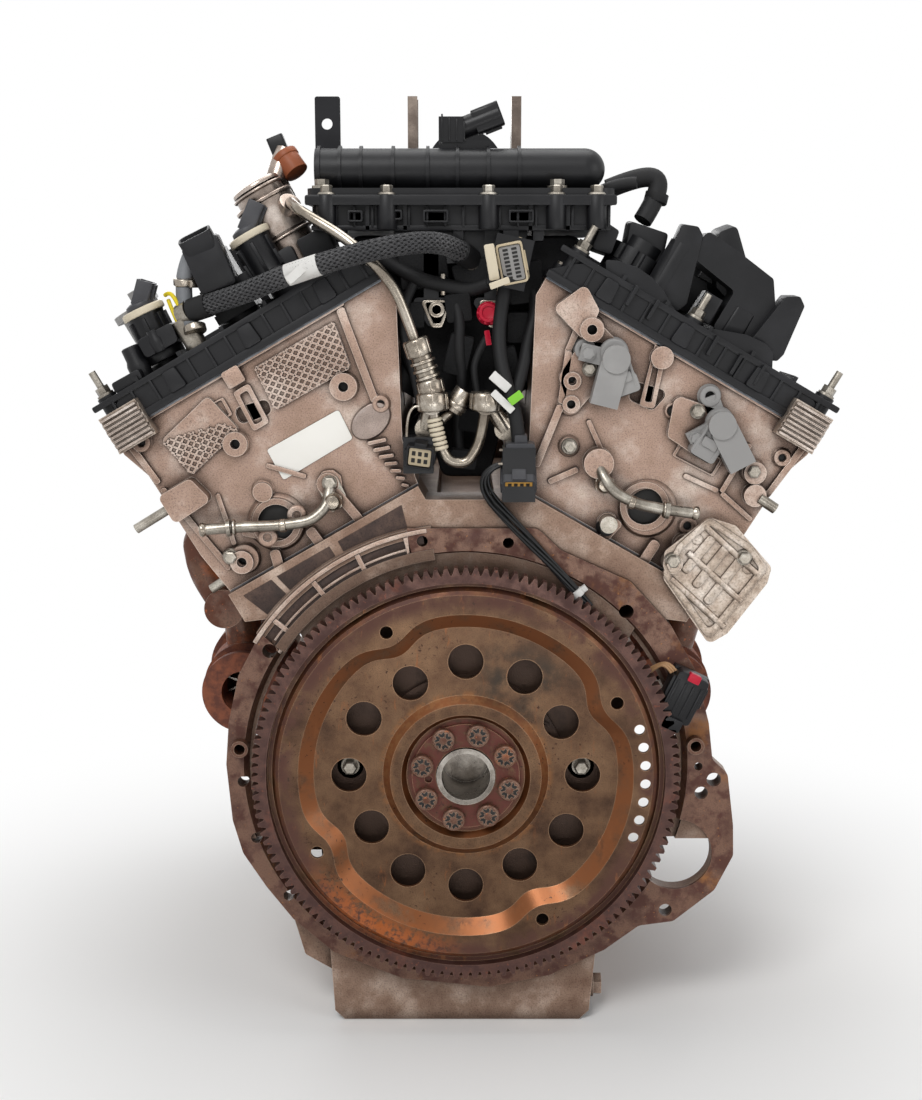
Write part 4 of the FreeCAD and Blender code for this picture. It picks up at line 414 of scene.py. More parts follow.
# Corrugated conduit: grey nylon.
GREY_TUBE = plastic("grey corrugated nylon", "#6C6E71", "#9A9B9D", 0.45)
# Wire insulation: smooth PVC, black or tan.
WIRE = plastic("black wire insulation", "#121213", "#3A3A3C", 0.34, 2.0, 0.004)
WIRE_TAN = plastic("tan wire insulation", "#A5805C", "#C6A585", 0.4, 2.0, 0.004)
# Open-cell foam that deadens the valley: black and coarse.
FOAM = plastic("black valley foam", "#0D0D0E", "#232324", 0.8, 2.4, 0.5, 0.3, 0.1)


def flexplate_steel():
    """Pressed steel: olive-brown mill finish, rust on the rim and round the hub, oily smudges, with bronze on
    the slopes of the wavy step (part rust, part painted highlight), a painted bronze highlight round the hub,
    and a rubbed patch with a painted highlight on the lower rim.
    """
    material, tree, shader, place, shade = metal("pressed steel, rusted", "#614733", "#402B1E", "#775B43",
                                                 0.9, 0.04, 0.6, (0.3, 0.46), 34, 7, 0.8, 0, 0.45)
    distance, angle = polar(tree, place)
    fine, broad = (put(tree, NOISE, {"Vector": place, "Scale": 1000 / size, "Detail": detail, "Roughness": r})
                   for size, detail, r in ((5, 6.0, 0.65), (26, 5.0, 0.62)))
    facing = put(tree, SEPARATE, {0: put(tree, "ShaderNodeNewGeometry", out="Normal")}, 1)
    slope = mask(tree, put(tree, MATH, {0: facing}, operation="ABSOLUTE"), 0.99, 0.93)
    # Slopes of the wavy step, told by the normal: rust and a painted bronze highlight.
    step = mask(tree, broad, 0.30, 0.55, slope)
    rim = mask(tree, broad, 0.34, 0.58, mask(tree, distance, 136, 150))
    hub = mask(tree, fine, 0.30, 0.55, mask(tree, distance, 50, 44))
    # A bronze ring round the hub: a painted highlight.
    bronze_ring_sheen = mask(tree, fine, 0.42, 0.60, window(tree, distance, 62, 70, 4))
    # A patch on the lower rim: rubbed wear and a painted highlight.
    rim_wear_and_sheen = mask(tree, fine, 0.36, 0.56, window(tree, angle, -140, -100, 14),
                 window(tree, distance, 138, 160, 8))
    smudge = mask(tree, broad, 0.34, 0.62, window(tree, angle, 40, 80, 12),
                  window(tree, distance, 66, 118, 12))
    specks = patches(tree, place, 3.2, 3.0, 0.6, 0.62, 0.68, patches(tree, place, 60, 3.0, 0.6, 0.44, 0.60))
    drawn = put(tree, "ShaderNodeMapping", {"Vector": place, "Scale": (1.0, 1.0, 0.25)})
    streak = patches(tree, drawn, 9, 6.0, 0.7, 0.58, 0.70, mask(tree, distance, 60, 100))
    shade = coats(tree, shade, (step, "#744526"), (rim, "#4A2A1F"), (hub, "#5A2A20"), (bronze_ring_sheen, "#7C5230"),
                  (rim_wear_and_sheen, "#9C5426"), (smudge, "#2B2620"), (specks, "#38241A"), (streak, "#7A4A2A"),
                  (edge_wear_and_highlight(tree, 1.2, 0.7), "#A58467"))
    dry = put(tree, MATH, {0: rim, 1: hub}, operation="MAXIMUM")
    feed(tree, shader, {"Base Color": shade,
                        "Roughness": put(tree, RANGE, {"Value": dry, "To Min": 0.34, "To Max": 0.58}),
                        "Metallic": put(tree, RANGE, {"Value": dry, "To Min": 0.72, "To Max": 0.35})})
    return material


def block_casting():
    """Sand-cast aluminium that is darker inside the clutch housing: rust dust and oil, and painted shade
    behind the flexplate.
    """
    material, tree, shader, place, shade = metal("sand-cast block", "#927867", "#765B4B", "#C6B1A1", 1.4,
                                                 0.3, 0.6, (0.38, 0.52), 36, 18, 1.1, 0.6, 0.9)
    distance, _ = polar(tree, place)
    near = mask(tree, put(tree, SEPARATE, {0: place}, 1), 0.03, 0.02)
    # A dark film behind the flexplate, also on the pan seen through its windows: dust and painted shade.
    film = mask(tree, distance, 178, 160, near)
    soot = patches(tree, place, 30, 5.0, 0.6, 0.25, 0.5, mask(tree, distance, 222, 186, near), 0.6)
    feed(tree, shader, {"Base Color": coats(tree, shade, (film, "#241811"), (soot, "#4A372C"))})
    return material


def turbo_casting():
    """Rusted iron at the turbine's rear end, and cast aluminium at the compressor's front end."""
    material, tree, shader, place, shade = metal("turbocharger castings", "#9B8C82", "#7D6F66", "#C6BBB2",
                                                 1.2, 0.12, 0.6, (0.34, 0.48), 34, 14)
    iron = mask(tree, put(tree, SEPARATE, {0: place}, 1), 0.215, 0.205)
    rust = coats(tree, linear("#63382B"), (patches(tree, place, 12, 6.0, 0.65, 0.4, 0.6), "#8A4F36"))
    feed(tree, shader, {"Base Color": coats(tree, shade, (iron, rust)),
                        "Metallic": put(tree, RANGE, {"Value": iron, "To Min": 0.6, "To Max": 0.1}),
                        "Roughness": put(tree, RANGE, {"Value": iron, "To Min": 0.4, "To Max": 0.75})})
    return material


def bracket_steel():
    """The left upright is black painted, and the two channels are bare grey-bronze steel."""
    material, tree, shader, place, shade = metal("bracket steel", "#6E6158", "#574C44", "#9A8C80", 1.0,
                                                 0.03, 0.6, (0.32, 0.46), 24, 6)
    painted = mask(tree, put(tree, SEPARATE, {0: place}), -0.08, -0.09)
    feed(tree, shader, {"Base Color": coats(tree, shade, (painted, "#17171A"))})
    return material


NODE_MATERIALS = {
    CAST: ["cylinder_head_left", "cylinder_head_right"],
    block_casting(): ["cylinder_block", "seal_retainer", "oil_pan"],
    turbo_casting(): ["turbochargers"],
    bracket_steel(): ["upright_brackets"],
    flexplate_steel(): ["flexplate", "clamp_disc"],
    DIE_CAST: ["oil_pump", "front_cover", "water_pump", "throttle_body"],
    MILLED: ["cam_caps", "fuel_pump"] + ["piston_%s_%d" % (side, row) for side in SIDE_NAMES.values()
                                         for row in (1, 2, 3)],
    ZINC: ["cover_fasteners", "rear_fittings", "hose_fittings", "throttle_plate"],
    STAINLESS: ["fuel_lines", "fuel_rails"],
    IRON: ["main_caps", "damper"] + ["camshaft_%s_%s" % (cam, side) for cam in ("intake", "exhaust")
                                     for side in SIDE_NAMES.values()],
    FORGED: ["crankshaft", "timing_chains", "turbo_rotor_left", "turbo_rotor_right"],
    SHIELD: ["heat_shields"],
    EXHAUST: ["exhaust_logs"],
    PLATE: ["separator_plate"],
    GEAR: ["ring_gear"],
    BOLT_RUST: ["spline_bolts", "dowels"],
    NYLON: ["cam_cover_left", "cam_cover_right", "vent_box", "oil_filler_cap", "intake_lower",
            "intake_upper"],
    PBT_BLACK: ["coils", "map_sensor", "connectors", "injectors"],
    PBT_GREY: ["cam_sensors"],
    GUIDE: ["chain_guides"],
    RUBBER: ["braided_hose", "harness"],
    GASKET: ["head_gaskets"],
    CERAMIC: ["spark_plugs"],
    PAINT: ["pump_pulley"],
}
for finish, names in NODE_MATERIALS.items():
    for node_name in names:
        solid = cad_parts[node_name]
        solid.data.materials.clear()
        solid.data.materials.append(finish)
BLOCK_CAST = bpy.data.materials["sand-cast block"]

# Mesh tools. Places and sizes are in millimetres.
EDGE_SEGMENTS = 2
EDGE_ANGLE = math.radians(40)


def seat(place, out=(0, -1, 0), guide=None, turn=0.0):
    """A frame at a place: its z points out of the surface, and its x lies along the guide."""
    z = Vector(out).normalized()
    if guide is None:
        guide = Vector((0, 0, 1)).cross(z) if abs(z.z) < 0.9 else Vector((1, 0, 0))
    guide = Vector(guide)
    x = (guide - guide.dot(z) * z).normalized()
    turned = Matrix((x, z.cross(x), z)).transposed().to_4x4()
    return Matrix.Translation(Vector(place)) @ turned @ Matrix.Rotation(math.radians(turn), 4, "Z")


def bank_rear(side, m, y, n, turn=0.0):
    """A frame on a bank's rear face: z points at the viewer and y points up the bank."""
    return seat(bank(side, m, y, n), turn=turn - BANK_DEGREES * side)


def bank_top(side, m, y, n):
    """A frame on top of a bank: z points up the bank and x points outboard."""
    return seat(bank(side, m, y, n), bank(side, 0, 0, 1), bank(side, 1, 0, 0))


def rounded(outline, corner, steps=4):
    """The outline with an arc in place of each corner."""
    if corner <= 0:
        return [Vector(p) for p in outline]
    ring = []
    points = [Vector(p) for p in outline]
    for i, here in enumerate(points):
        back = points[i - 1] - here
        ahead = points[(i + 1) % len(points)] - here
        half = 0.5 * back.angle(ahead)
        reach = min(corner / max(math.tan(half), 0.01), 0.48 * back.length, 0.48 * ahead.length)
        start = here + back.normalized() * reach
        end = here + ahead.normalized() * reach
        for k in range(steps + 1):
            t = k / steps
            ring.append(start * (1 - t) ** 2 + here * (2 * t * (1 - t)) + end * t ** 2)
    return ring


def smooth_line(points, steps=8):
    """The quadratic B-spline of the points, which starts and ends on the first and last."""
    points = [Vector(p) for p in points]
    line = [points[0]]
    for i in range(1, len(points) - 1):
        start = points[0] if i == 1 else (points[i - 1] + points[i]) / 2
        end = points[-1] if i == len(points) - 2 else (points[i] + points[i + 1]) / 2
        for k in range(1, steps + 1):
            t = k / steps
            line.append(start * (1 - t) ** 2 + points[i] * (2 * t * (1 - t)) + end * t ** 2)
    if len(points) == 2:
        line.append(points[1])
    return line


class Shape:
    """The faces of one piece, gathered part by part."""

    def __init__(self, finish):
        self.mesh = bmesh.new()
        self.finishes = [finish]
        self.slot = 0

    def use(self, finish):
        if finish not in self.finishes:
            self.finishes.append(finish)
        self.slot = self.finishes.index(finish)
        return self

    def loft(self, rings, cap=True, ring=False):
        """Skin a list of rings, each of as many points; ring joins the last to the first."""
        count = len(rings[0])
        rows = [[self.mesh.verts.new(p) for p in points] for points in rings]
        faces = []
        pairs = list(zip(rows, rows[1:])) + ([(rows[-1], rows[0])] if ring else [])
        for first, second in pairs:
            for i in range(count):
                j = (i + 1) % count
                faces.append(self.mesh.faces.new((first[i], first[j], second[j], second[i])))
        if cap and not ring:
            faces.append(self.mesh.faces.new(rows[0][::-1]))
            faces.append(self.mesh.faces.new(rows[-1]))
        for face in faces:
            face.material_index = self.slot
        return self

    def prism(self, outline, low, high, frame_at=Matrix(), corner=0.0, taper=0.0):
        """An outline in the frame's x and y, from low to high along its z, drawn in by taper."""
        ring = rounded([(x, y, 0) for x, y in outline], corner)
        middle = sum(ring, Vector()) / len(ring)
        rings = []
        for height, shrink in ((low, 0.0), (high, taper)):
            points = []
            for p in ring:
                away = p - middle
                size = max(1 - shrink / max(away.length, 0.001), 0.05)
                points.append(frame_at @ (middle + away * size + Vector((0, 0, height))))
            rings.append(points)
        return self.loft(rings)

    def cup(self, outline, inner, low, high, frame_at=Matrix(), corner=0.0, floor=None):
        """A wall between two outlines with as many corners, with a floor at one height."""
        outside = rounded([(x, y, 0) for x, y in outline], corner)
        inside = rounded([(x, y, 0) for x, y in inner], corner * 0.75)
        floor = low if floor is None else floor
        levels = [(outside, low), (outside, high), (inside, high), (inside, floor)]
        return self.loft([[frame_at @ (p + Vector((0, 0, h))) for p in ring] for ring, h in levels])

    def box(self, low, high, frame_at=Matrix(), corner=0.0, taper=0.0):
        outline = [(low[0], low[1]), (high[0], low[1]), (high[0], high[1]), (low[0], high[1])]
        return self.prism(outline, low[2], high[2], frame_at, corner, taper)

    def lathe(self, profile, frame_at=Matrix(), steps=32, ring=False):
        """Turn (radius, height) corners about the frame's z."""
        rings = []
        for radius, height in profile:
            radius = max(radius, 0.01)
            rings.append([frame_at @ Vector((x, y, height)) for x, y in circle(radius, steps)])
        return self.loft(rings, True, ring)

    def rod(self, start, end, radius, steps=20):
        axis = Vector(end) - Vector(start)
        return self.lathe([(radius, 0), (radius, axis.length)], seat(start, axis), steps)

    def tube(self, route, radius, steps=12):
        """A round bar along a smooth line."""
        line = smooth_line(route)
        rings = []
        across = None
        for i, here in enumerate(line):
            ahead = (line[min(i + 1, len(line) - 1)] - line[max(i - 1, 0)]).normalized()
            if across is None:
                across = ahead.orthogonal().normalized()
            across = (across - across.dot(ahead) * ahead).normalized()
            other = ahead.cross(across)
            turns = [TURN * k / steps for k in range(steps)]
            rings.append([here + radius * (math.cos(a) * across + math.sin(a) * other) for a in turns])
        return self.loft(rings)

    def finish(self, name, body=ENGINE, bevel=0.0, soft=35.0):
        """Turn the gathered faces into a piece that rides on a body."""
        bmesh.ops.recalc_face_normals(self.mesh, faces=self.mesh.faces)
        bmesh.ops.scale(self.mesh, vec=(MM, MM, MM), verts=self.mesh.verts)
        mesh = bpy.data.meshes.new(name)
        self.mesh.to_mesh(mesh)
        self.mesh.free()
        for finish in self.finishes:
            mesh.materials.append(finish)
        piece = stand(name, mesh)
        if bevel > 0:
            edge = piece.modifiers.new("edge", "BEVEL")
            edge.width = bevel * MM
            edge.segments = EDGE_SEGMENTS
            edge.limit_method = "ANGLE"
            edge.angle_limit = EDGE_ANGLE
            edge.use_clamp_overlap = True
            settle(piece)
        shade(piece.data, soft)
        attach(piece, body)
        return piece


def shade(mesh, soft):
    mesh.shade_smooth()
    mesh.set_sharp_from_angle(angle=math.radians(soft))


def settle(piece):
    """Turn a piece with modifiers into the plain mesh that they give."""
    seen = piece.evaluated_get(bpy.context.evaluated_depsgraph_get())
    mesh = bpy.data.meshes.new_from_object(seen)
    piece.modifiers.clear()
    piece.data = mesh
    mesh.name = piece.name

# Geometry Nodes trees for what repeats or follows a line

def new_tree(name, sizes):
    """A tree with a geometry input, named sizes and one geometry output."""
    tree = bpy.data.node_groups.new(name, "GeometryNodeTree")
    tree.interface.new_socket("Geometry", in_out="INPUT", socket_type="NodeSocketGeometry")
    for label, value in sizes.items():
        kind = "NodeSocketInt" if isinstance(value, int) else "NodeSocketFloat"
        tree.interface.new_socket(label, in_out="INPUT", socket_type=kind).default_value = value
    tree.interface.new_socket("Finish", in_out="INPUT", socket_type="NodeSocketMaterial")
    tree.interface.new_socket("Geometry", in_out="OUTPUT", socket_type="NodeSocketGeometry")
    return tree, put(tree, "NodeGroupInput", out=None)


def close_tree(tree, given, geometry):
    realized = put(tree, "GeometryNodeRealizeInstances", {"Geometry": geometry})
    coated = put(tree, "GeometryNodeSetMaterial", {"Geometry": realized, "Material": given["Finish"]})
    put(tree, "NodeGroupOutput", {"Geometry": coated}, None)
    return tree


def reckon(tree, values, steps):
    """Work out a table of (result, operation, terms) from the named values, and add the results to them."""
    for result, operation, *terms in steps:
        inputs = {i: values.get(term, term) for i, term in enumerate(terms)}
        values[result] = put(tree, MATH, inputs, operation=operation)
    return values


def lifted(tree, geometry, height):
    offset = put(tree, COMBINE, {"Z": height})
    return put(tree, "GeometryNodeTransform", {"Geometry": geometry, "Translation": offset})


def swept(tree, curve, corners, radius):
    """A round section run along a curve, with closed ends."""
    section = put(tree, "GeometryNodeCurvePrimitiveCircle", {"Resolution": corners, "Radius": radius},
                  mode="RADIUS")
    return put(tree, "GeometryNodeCurveToMesh", {"Curve": curve, "Profile Curve": section, "Fill Caps": True})


def bolt_tree():
    """Flange bolts on points: a chamfered hexagon on a domed washer, along the point's axis."""
    tree, given = new_tree("flange bolts", {"Across flats": 0.01, "Head height": 0.006,
                                            "Washer radius": 0.008, "Washer height": 0.002})
    height, washer_r, washer_h = given["Head height"], given["Washer radius"], given["Washer height"]
    found = reckon(tree, {"across": given["Across flats"], "height": height, "washer": washer_h,
                          "r": washer_r}, [
        ("corner", "MULTIPLY", "across", 1 / math.sqrt(3)), ("top", "MULTIPLY", "across", 0.44),
        ("chamfer", "MULTIPLY", "across", 0.08), ("dome", "MULTIPLY", "r", 0.84),
        ("half", "MULTIPLY", "height", 0.5), ("middle", "ADD", "half", "washer"),
        ("head", "ADD", "height", "washer")])
    hexagon = put(tree, "GeometryNodeMeshCylinder", {"Vertices": 6, "Radius": found["corner"],
                                                     "Depth": height})
    top = put(tree, "GeometryNodeMeshCone", {"Vertices": 6, "Radius Top": found["top"],
                                             "Radius Bottom": found["corner"], "Depth": found["chamfer"]})
    washer = put(tree, "GeometryNodeMeshCone", {"Vertices": 28, "Radius Top": found["dome"],
                                                "Radius Bottom": washer_r, "Depth": washer_h})
    bolt = put(tree, "GeometryNodeJoinGeometry", {0: [lifted(tree, hexagon, found["middle"]),
                                                      lifted(tree, top, found["head"]), washer]})
    axis = put(tree, ATTRIBUTE, {"Name": "axis"}, data_type="FLOAT_VECTOR")
    turn = put(tree, "FunctionNodeAlignRotationToVector", {"Vector": axis}, axis="Z")
    placed = put(tree, "GeometryNodeInstanceOnPoints", {"Points": given["Geometry"], "Rotation": turn,
                                                        "Instance": bolt})
    return close_tree(tree, given, placed)


def bar_tree():
    """Raised bars on points: each lies along its point's axis, on the face that up points out of."""
    tree, given = new_tree("raised bars", {"Width": 0.001, "Height": 0.001})
    axis, up, reach = (put(tree, ATTRIBUTE, {"Name": name}, data_type=kind) for name, kind in
                       (("axis", "FLOAT_VECTOR"), ("up", "FLOAT_VECTOR"), ("reach", "FLOAT")))
    size = put(tree, COMBINE, {"X": 1.0, "Y": given["Width"], "Z": given["Height"]})
    cube = put(tree, "GeometryNodeMeshCube", {"Size": size})
    turn = put(tree, "FunctionNodeAxesToRotation", {"Primary Axis": axis, "Secondary Axis": up},
               primary_axis="X", secondary_axis="Z")
    scale = put(tree, COMBINE, {"X": reach, "Y": 1.0, "Z": 1.0})
    placed = put(tree, "GeometryNodeInstanceOnPoints", {"Points": given["Geometry"], "Rotation": turn,
                                                        "Scale": scale, "Instance": cube})
    return close_tree(tree, given, placed)


def braid_tree():
    """A woven sleeve on a curve: strands that wind both ways and pass over and under each other."""
    tree, given = new_tree("woven sleeve", {"Radius": 0.008, "Strand radius": 0.0007, "Strands": 28,
                                            "Turns per metre": 17.0})
    curve = put(tree, "GeometryNodeResampleCurve", {"Curve": given["Geometry"], "Length": 0.0012},
                mode="LENGTH")
    copies = put(tree, "GeometryNodeDuplicateElements", {"Geometry": curve, "Amount": given["Strands"]}, None,
                 domain="SPLINE")
    known = {"index": copies["Duplicate Index"], "run": put(tree, "GeometryNodeSplineParameter",
                                                            out="Length"),
             "strands": given["Strands"], "winds": given["Turns per metre"], "thick": given["Strand radius"],
             "core": given["Radius"]}
    found = reckon(tree, known, [
        # Every second strand winds the other way, and each pair has its own start.
        ("half", "MULTIPLY", "strands", 0.5), ("odd", "MODULO", "index", 2.0), ("back", "MULTIPLY", "odd",
                                                                                -2.0),
        ("sign", "ADD", "back", 1.0), ("pairs", "MULTIPLY", "index", 0.5), ("pair", "FLOOR", "pairs"),
        ("share", "DIVIDE", "pair", "half"), ("phase", "MULTIPLY", "share", TURN),
        ("turns", "MULTIPLY", "run", "winds"), ("wound", "MULTIPLY", "turns", TURN),
        ("swing", "MULTIPLY", "wound", "sign"), ("angle", "ADD", "phase", "swing"),
        # The radius rises where a strand passes over and falls where it passes under.
        ("waves", "MULTIPLY", "wound", "half"), ("weave", "SINE", "waves"), ("over", "MULTIPLY", "weave",
                                                                             "sign"),
        ("rise", "MULTIPLY", "thick", 0.55), ("lift", "MULTIPLY", "over", "rise"),
        ("radius", "ADD", "core", "lift"), ("cosine", "COSINE", "angle"), ("sine", "SINE", "angle"),
        ("aside", "MULTIPLY", "cosine", "radius"), ("ahead", "MULTIPLY", "sine", "radius")])
    normal = put(tree, "GeometryNodeInputNormal")
    tangent = put(tree, "GeometryNodeInputTangent")
    other = put(tree, VECTOR_MATH, {0: tangent, 1: normal}, operation="CROSS_PRODUCT")
    first, second = (put(tree, VECTOR_MATH, {0: axis, "Scale": found[size]}, operation="SCALE")
                     for axis, size in ((normal, "aside"), (other, "ahead")))
    offset = put(tree, VECTOR_MATH, {0: first, 1: second}, operation="ADD")
    moved = put(tree, "GeometryNodeSetPosition", {"Geometry": copies["Geometry"], "Offset": offset})
    return close_tree(tree, given, swept(tree, moved, 5, given["Strand radius"]))


def ridge_tree():
    """A corrugated tube on a curve, whose radius swells once every pitch."""
    tree, given = new_tree("corrugated tube", {"Radius": 0.006, "Ridge pitch": 0.003, "Ridge depth": 0.1})
    known = {"run": put(tree, "GeometryNodeSplineParameter", out="Length"), "pitch": given["Ridge pitch"],
             "depth": given["Ridge depth"]}
    found = reckon(tree, known, [
        ("step", "MULTIPLY", "pitch", 1 / 6), ("count", "DIVIDE", "run", "pitch"),
        ("turns", "MULTIPLY", "count", TURN), ("wave", "SINE", "turns"),
        ("height", "MULTIPLY", "wave", "depth"), ("swell", "ADD", "height", 1.0)])
    curve = put(tree, "GeometryNodeResampleCurve", {"Curve": given["Geometry"], "Length": found["step"]},
                mode="LENGTH")
    swollen = put(tree, "GeometryNodeSetCurveRadius", {"Curve": curve, "Radius": found["swell"]})
    return close_tree(tree, given, swept(tree, swollen, 16, given["Radius"]))


TREES = {"bolts": bolt_tree(), "bars": bar_tree(), "braid": braid_tree(), "ridges": ridge_tree()}


def grow(name, data, tree, finish, body=ENGINE, soft=35.0, **sizes):
    """Run a tree on a mesh of points or a curve, and keep the plain mesh that comes out of it."""
    piece = stand(name, data)
    modifier = piece.modifiers.new("made", "NODES")
    modifier.node_group = TREES[tree]
    wanted = {label.replace("_", " ").capitalize(): value for label, value in sizes.items()}
    wanted["Finish"] = finish
    for item in TREES[tree].interface.items_tree:
        if item.item_type == "SOCKET" and item.in_out == "INPUT" and item.name in wanted:
            modifier[item.identifier] = wanted[item.name]
    seen = piece.evaluated_get(bpy.context.evaluated_depsgraph_get())
    mesh = bpy.data.meshes.new_from_object(seen)
    bpy.data.objects.remove(piece)
    piece = stand(name, mesh)
    shade(mesh, soft)
    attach(piece, body)
    return piece


def point_cloud(name, places, **vectors):
    """A mesh of loose points in millimetres with an attribute for each list of vectors or numbers."""
    mesh = bpy.data.meshes.new(name)
    mesh.from_pydata([Vector(p) * MM for p in places], [], [])
    for label, values in vectors.items():
        if isinstance(values[0], (int, float)):
            mesh.attributes.new(label, "FLOAT", "POINT").data.foreach_set("value", values)
        else:
            flat = [c for value in values for c in value]
            mesh.attributes.new(label, "FLOAT_VECTOR", "POINT").data.foreach_set("vector", flat)
    return mesh


def bolts(name, places, finish, across=10.0, head=5.0, washer=8.0, washer_h=1.8, body=ENGINE):
    """Flange bolts at (place, outward axis) pairs."""
    cloud = point_cloud(name, [p for p, a in places], axis=[Vector(a).normalized() for p, a in places])
    return grow(name, cloud, "bolts", finish, body, 30, across_flats=across * MM, head_height=head * MM,
                washer_radius=washer * MM, washer_height=washer_h * MM)


def bars(name, rows, finish, width, height, body=ENGINE):
    """Raised bars: (middle, direction, length, up) each."""
    cloud = point_cloud(name, [r[0] for r in rows], axis=[Vector(r[1]).normalized() for r in rows],
                        reach=[r[2] * MM for r in rows], up=[Vector(r[3]).normalized() for r in rows])
    return grow(name, cloud, "bars", finish, body, 30, width=width * MM, height=height * MM)


def route_curve(name, points):
    """A smooth NURBS line through the route of a hose or wire, given in millimetres."""
    data = bpy.data.curves.new(name, "CURVE")
    data.dimensions = "3D"
    spline = data.splines.new("NURBS")
    spline.points.add(len(points) - 1)
    for point, place in zip(spline.points, points):
        point.co = [c * MM for c in place] + [1.0]
    spline.order_u = 3
    spline.use_endpoint_u = True
    spline.resolution_u = 12
    return data


def line_of(points):
    """Points read off the NURBS line of a route, in millimetres."""
    holder = stand("route", route_curve("route", points))
    bpy.context.view_layer.update()
    seen = holder.evaluated_get(bpy.context.evaluated_depsgraph_get())
    line = [v.co / MM for v in bpy.data.meshes.new_from_object(seen).vertices]
    bpy.data.objects.remove(holder)
    return line


def length_of(line):
    return sum((b - a).length for a, b in zip(line, line[1:]))


# Rear faces of the heads. In BACK's frames y goes up the bank, z points at the viewer, and the face lies
# at HEAD_FACE. On the right x is outboard, on the left it is inboard.
BACK = {side: bank_rear(side, 0, 0, 0) for side in (LEFT, RIGHT)}
HEAD_REAR_Y = 12
HEAD_FACE = -HEAD_REAR_Y
LEFT_FIELDS = [[(76, 359), (70, 323), (17, 335), (25, 346)], [(-19, 371), (-93, 371), (-86, 333), (-16, 334)]]
HATCH_PITCH, HATCH_WIDTH, HATCH_HEIGHT = 4.9, 1.5, 4.4
HATCH_TURNS = (-50, 32)
REARWARD = (0, -1, 0)


def rectangle(half_x, half_y, x=0.0, y=0.0):
    """The corners of a rectangle, from its half sizes and its middle."""
    return [(x - half_x, y - half_y), (x + half_x, y - half_y), (x + half_x, y + half_y),
            (x - half_x, y + half_y)]


def on_bank(side, points):
    return [(side * m, n) for m, n in points]


def spot(side, m, n, out=0.0, turn=0.0):
    """A frame on the rear face of a head, with z pointing out of the face."""
    return bank_rear(side, m, HEAD_REAR_Y - out, n, turn)


def pad(shape, side, points, height, corner=2.5, taper=0.5):
    """A raised pad on a head, from its corners in (m, n)."""
    return shape.prism(on_bank(side, points), HEAD_FACE - 1, HEAD_FACE + height, BACK[side], corner, taper)


def rib(shape, side, start, end, width, height):
    """A straight cast rib between two places in (m, n)."""
    start, end = Vector(start), Vector(end)
    aside = Vector((-(end - start).y, (end - start).x)).normalized() * width / 2
    corners = [start - aside, end - aside, end + aside, start + aside]
    return pad(shape, side, corners, height, width / 2.2, 0.7)


def boss(shape, frame_at, radius, hole, height):
    """A cast boss with a chamfered rim and a tapped hole."""
    shape.lathe([(radius + 1.2, -1), (radius + 1.2, 0.3), (radius, 1.2), (radius, height - 0.7),
                 (radius - 0.7, height), (hole + 0.8, height), (hole, height - 0.8), (hole, -1)],
                frame_at, 28, ring=True)
    kept = shape.slot
    # A dark disc of painted shade at the bottom of the tapped hole.
    shape.use(HOLE_SHADE).lathe([(hole + 0.3, 0.05), (hole + 0.3, 0.4)], frame_at, 20)
    shape.slot = kept
    return shape


def field_rows(side, corners, angle, pitch, height):
    """Parallel bars clipped to a four-cornered field on a head's rear face."""
    along = Vector((math.cos(math.radians(angle)), math.sin(math.radians(angle))))
    across = Vector((-along.y, along.x))
    ring = [Vector(p) for p in on_bank(side, corners)]
    rows = []
    level = min(p.dot(across) for p in ring) + pitch / 2
    while level < max(p.dot(across) for p in ring):
        cuts = []
        for a, b in zip(ring, ring[1:] + ring[:1]):
            from_a, from_b = a.dot(across) - level, b.dot(across) - level
            if from_a * from_b < 0:
                cuts.append((a + (b - a) * from_a / (from_a - from_b)).dot(along))
        if len(cuts) == 2 and abs(cuts[0] - cuts[1]) > pitch / 2:
            middle = along * sum(cuts) / 2 + across * level
            rows.append((BACK[side] @ Vector((middle.x, middle.y, HEAD_FACE + height / 2)),
                         BACK[side].to_3x3() @ Vector((along.x, along.y, 0)), abs(cuts[0] - cuts[1]),
                         REARWARD))
        level += pitch
    return rows


def frame_place(shape, side, corners, width, height):
    """A raised rectangular rim round a bare place."""
    middle = sum((Vector(c) for c in corners), Vector((0, 0))) / 4
    inner = [Vector(c) + (middle - Vector(c)).normalized() * width * 1.6 for c in corners]
    return shape.cup(on_bank(side, corners), on_bank(side, inner), HEAD_FACE - 1, HEAD_FACE + height,
                     BACK[side], 2.0)


def port_ring(shape, side, m, n):
    """The core hole behind the coolant tube: a turned rim round a sunk face."""
    shape.use(CAST).lathe([(24, -1), (24, 1), (21.5, 3.5), (16.5, 3.5), (15.5, 0.4), (15.5, -1)],
                          spot(side, m, n), 40, ring=True)
    # A dark disc of painted shade on the sunk face.
    shape.use(HOLE_SHADE).lathe([(15.8, 0.1), (15.8, 0.5)], spot(side, m, n), 32)


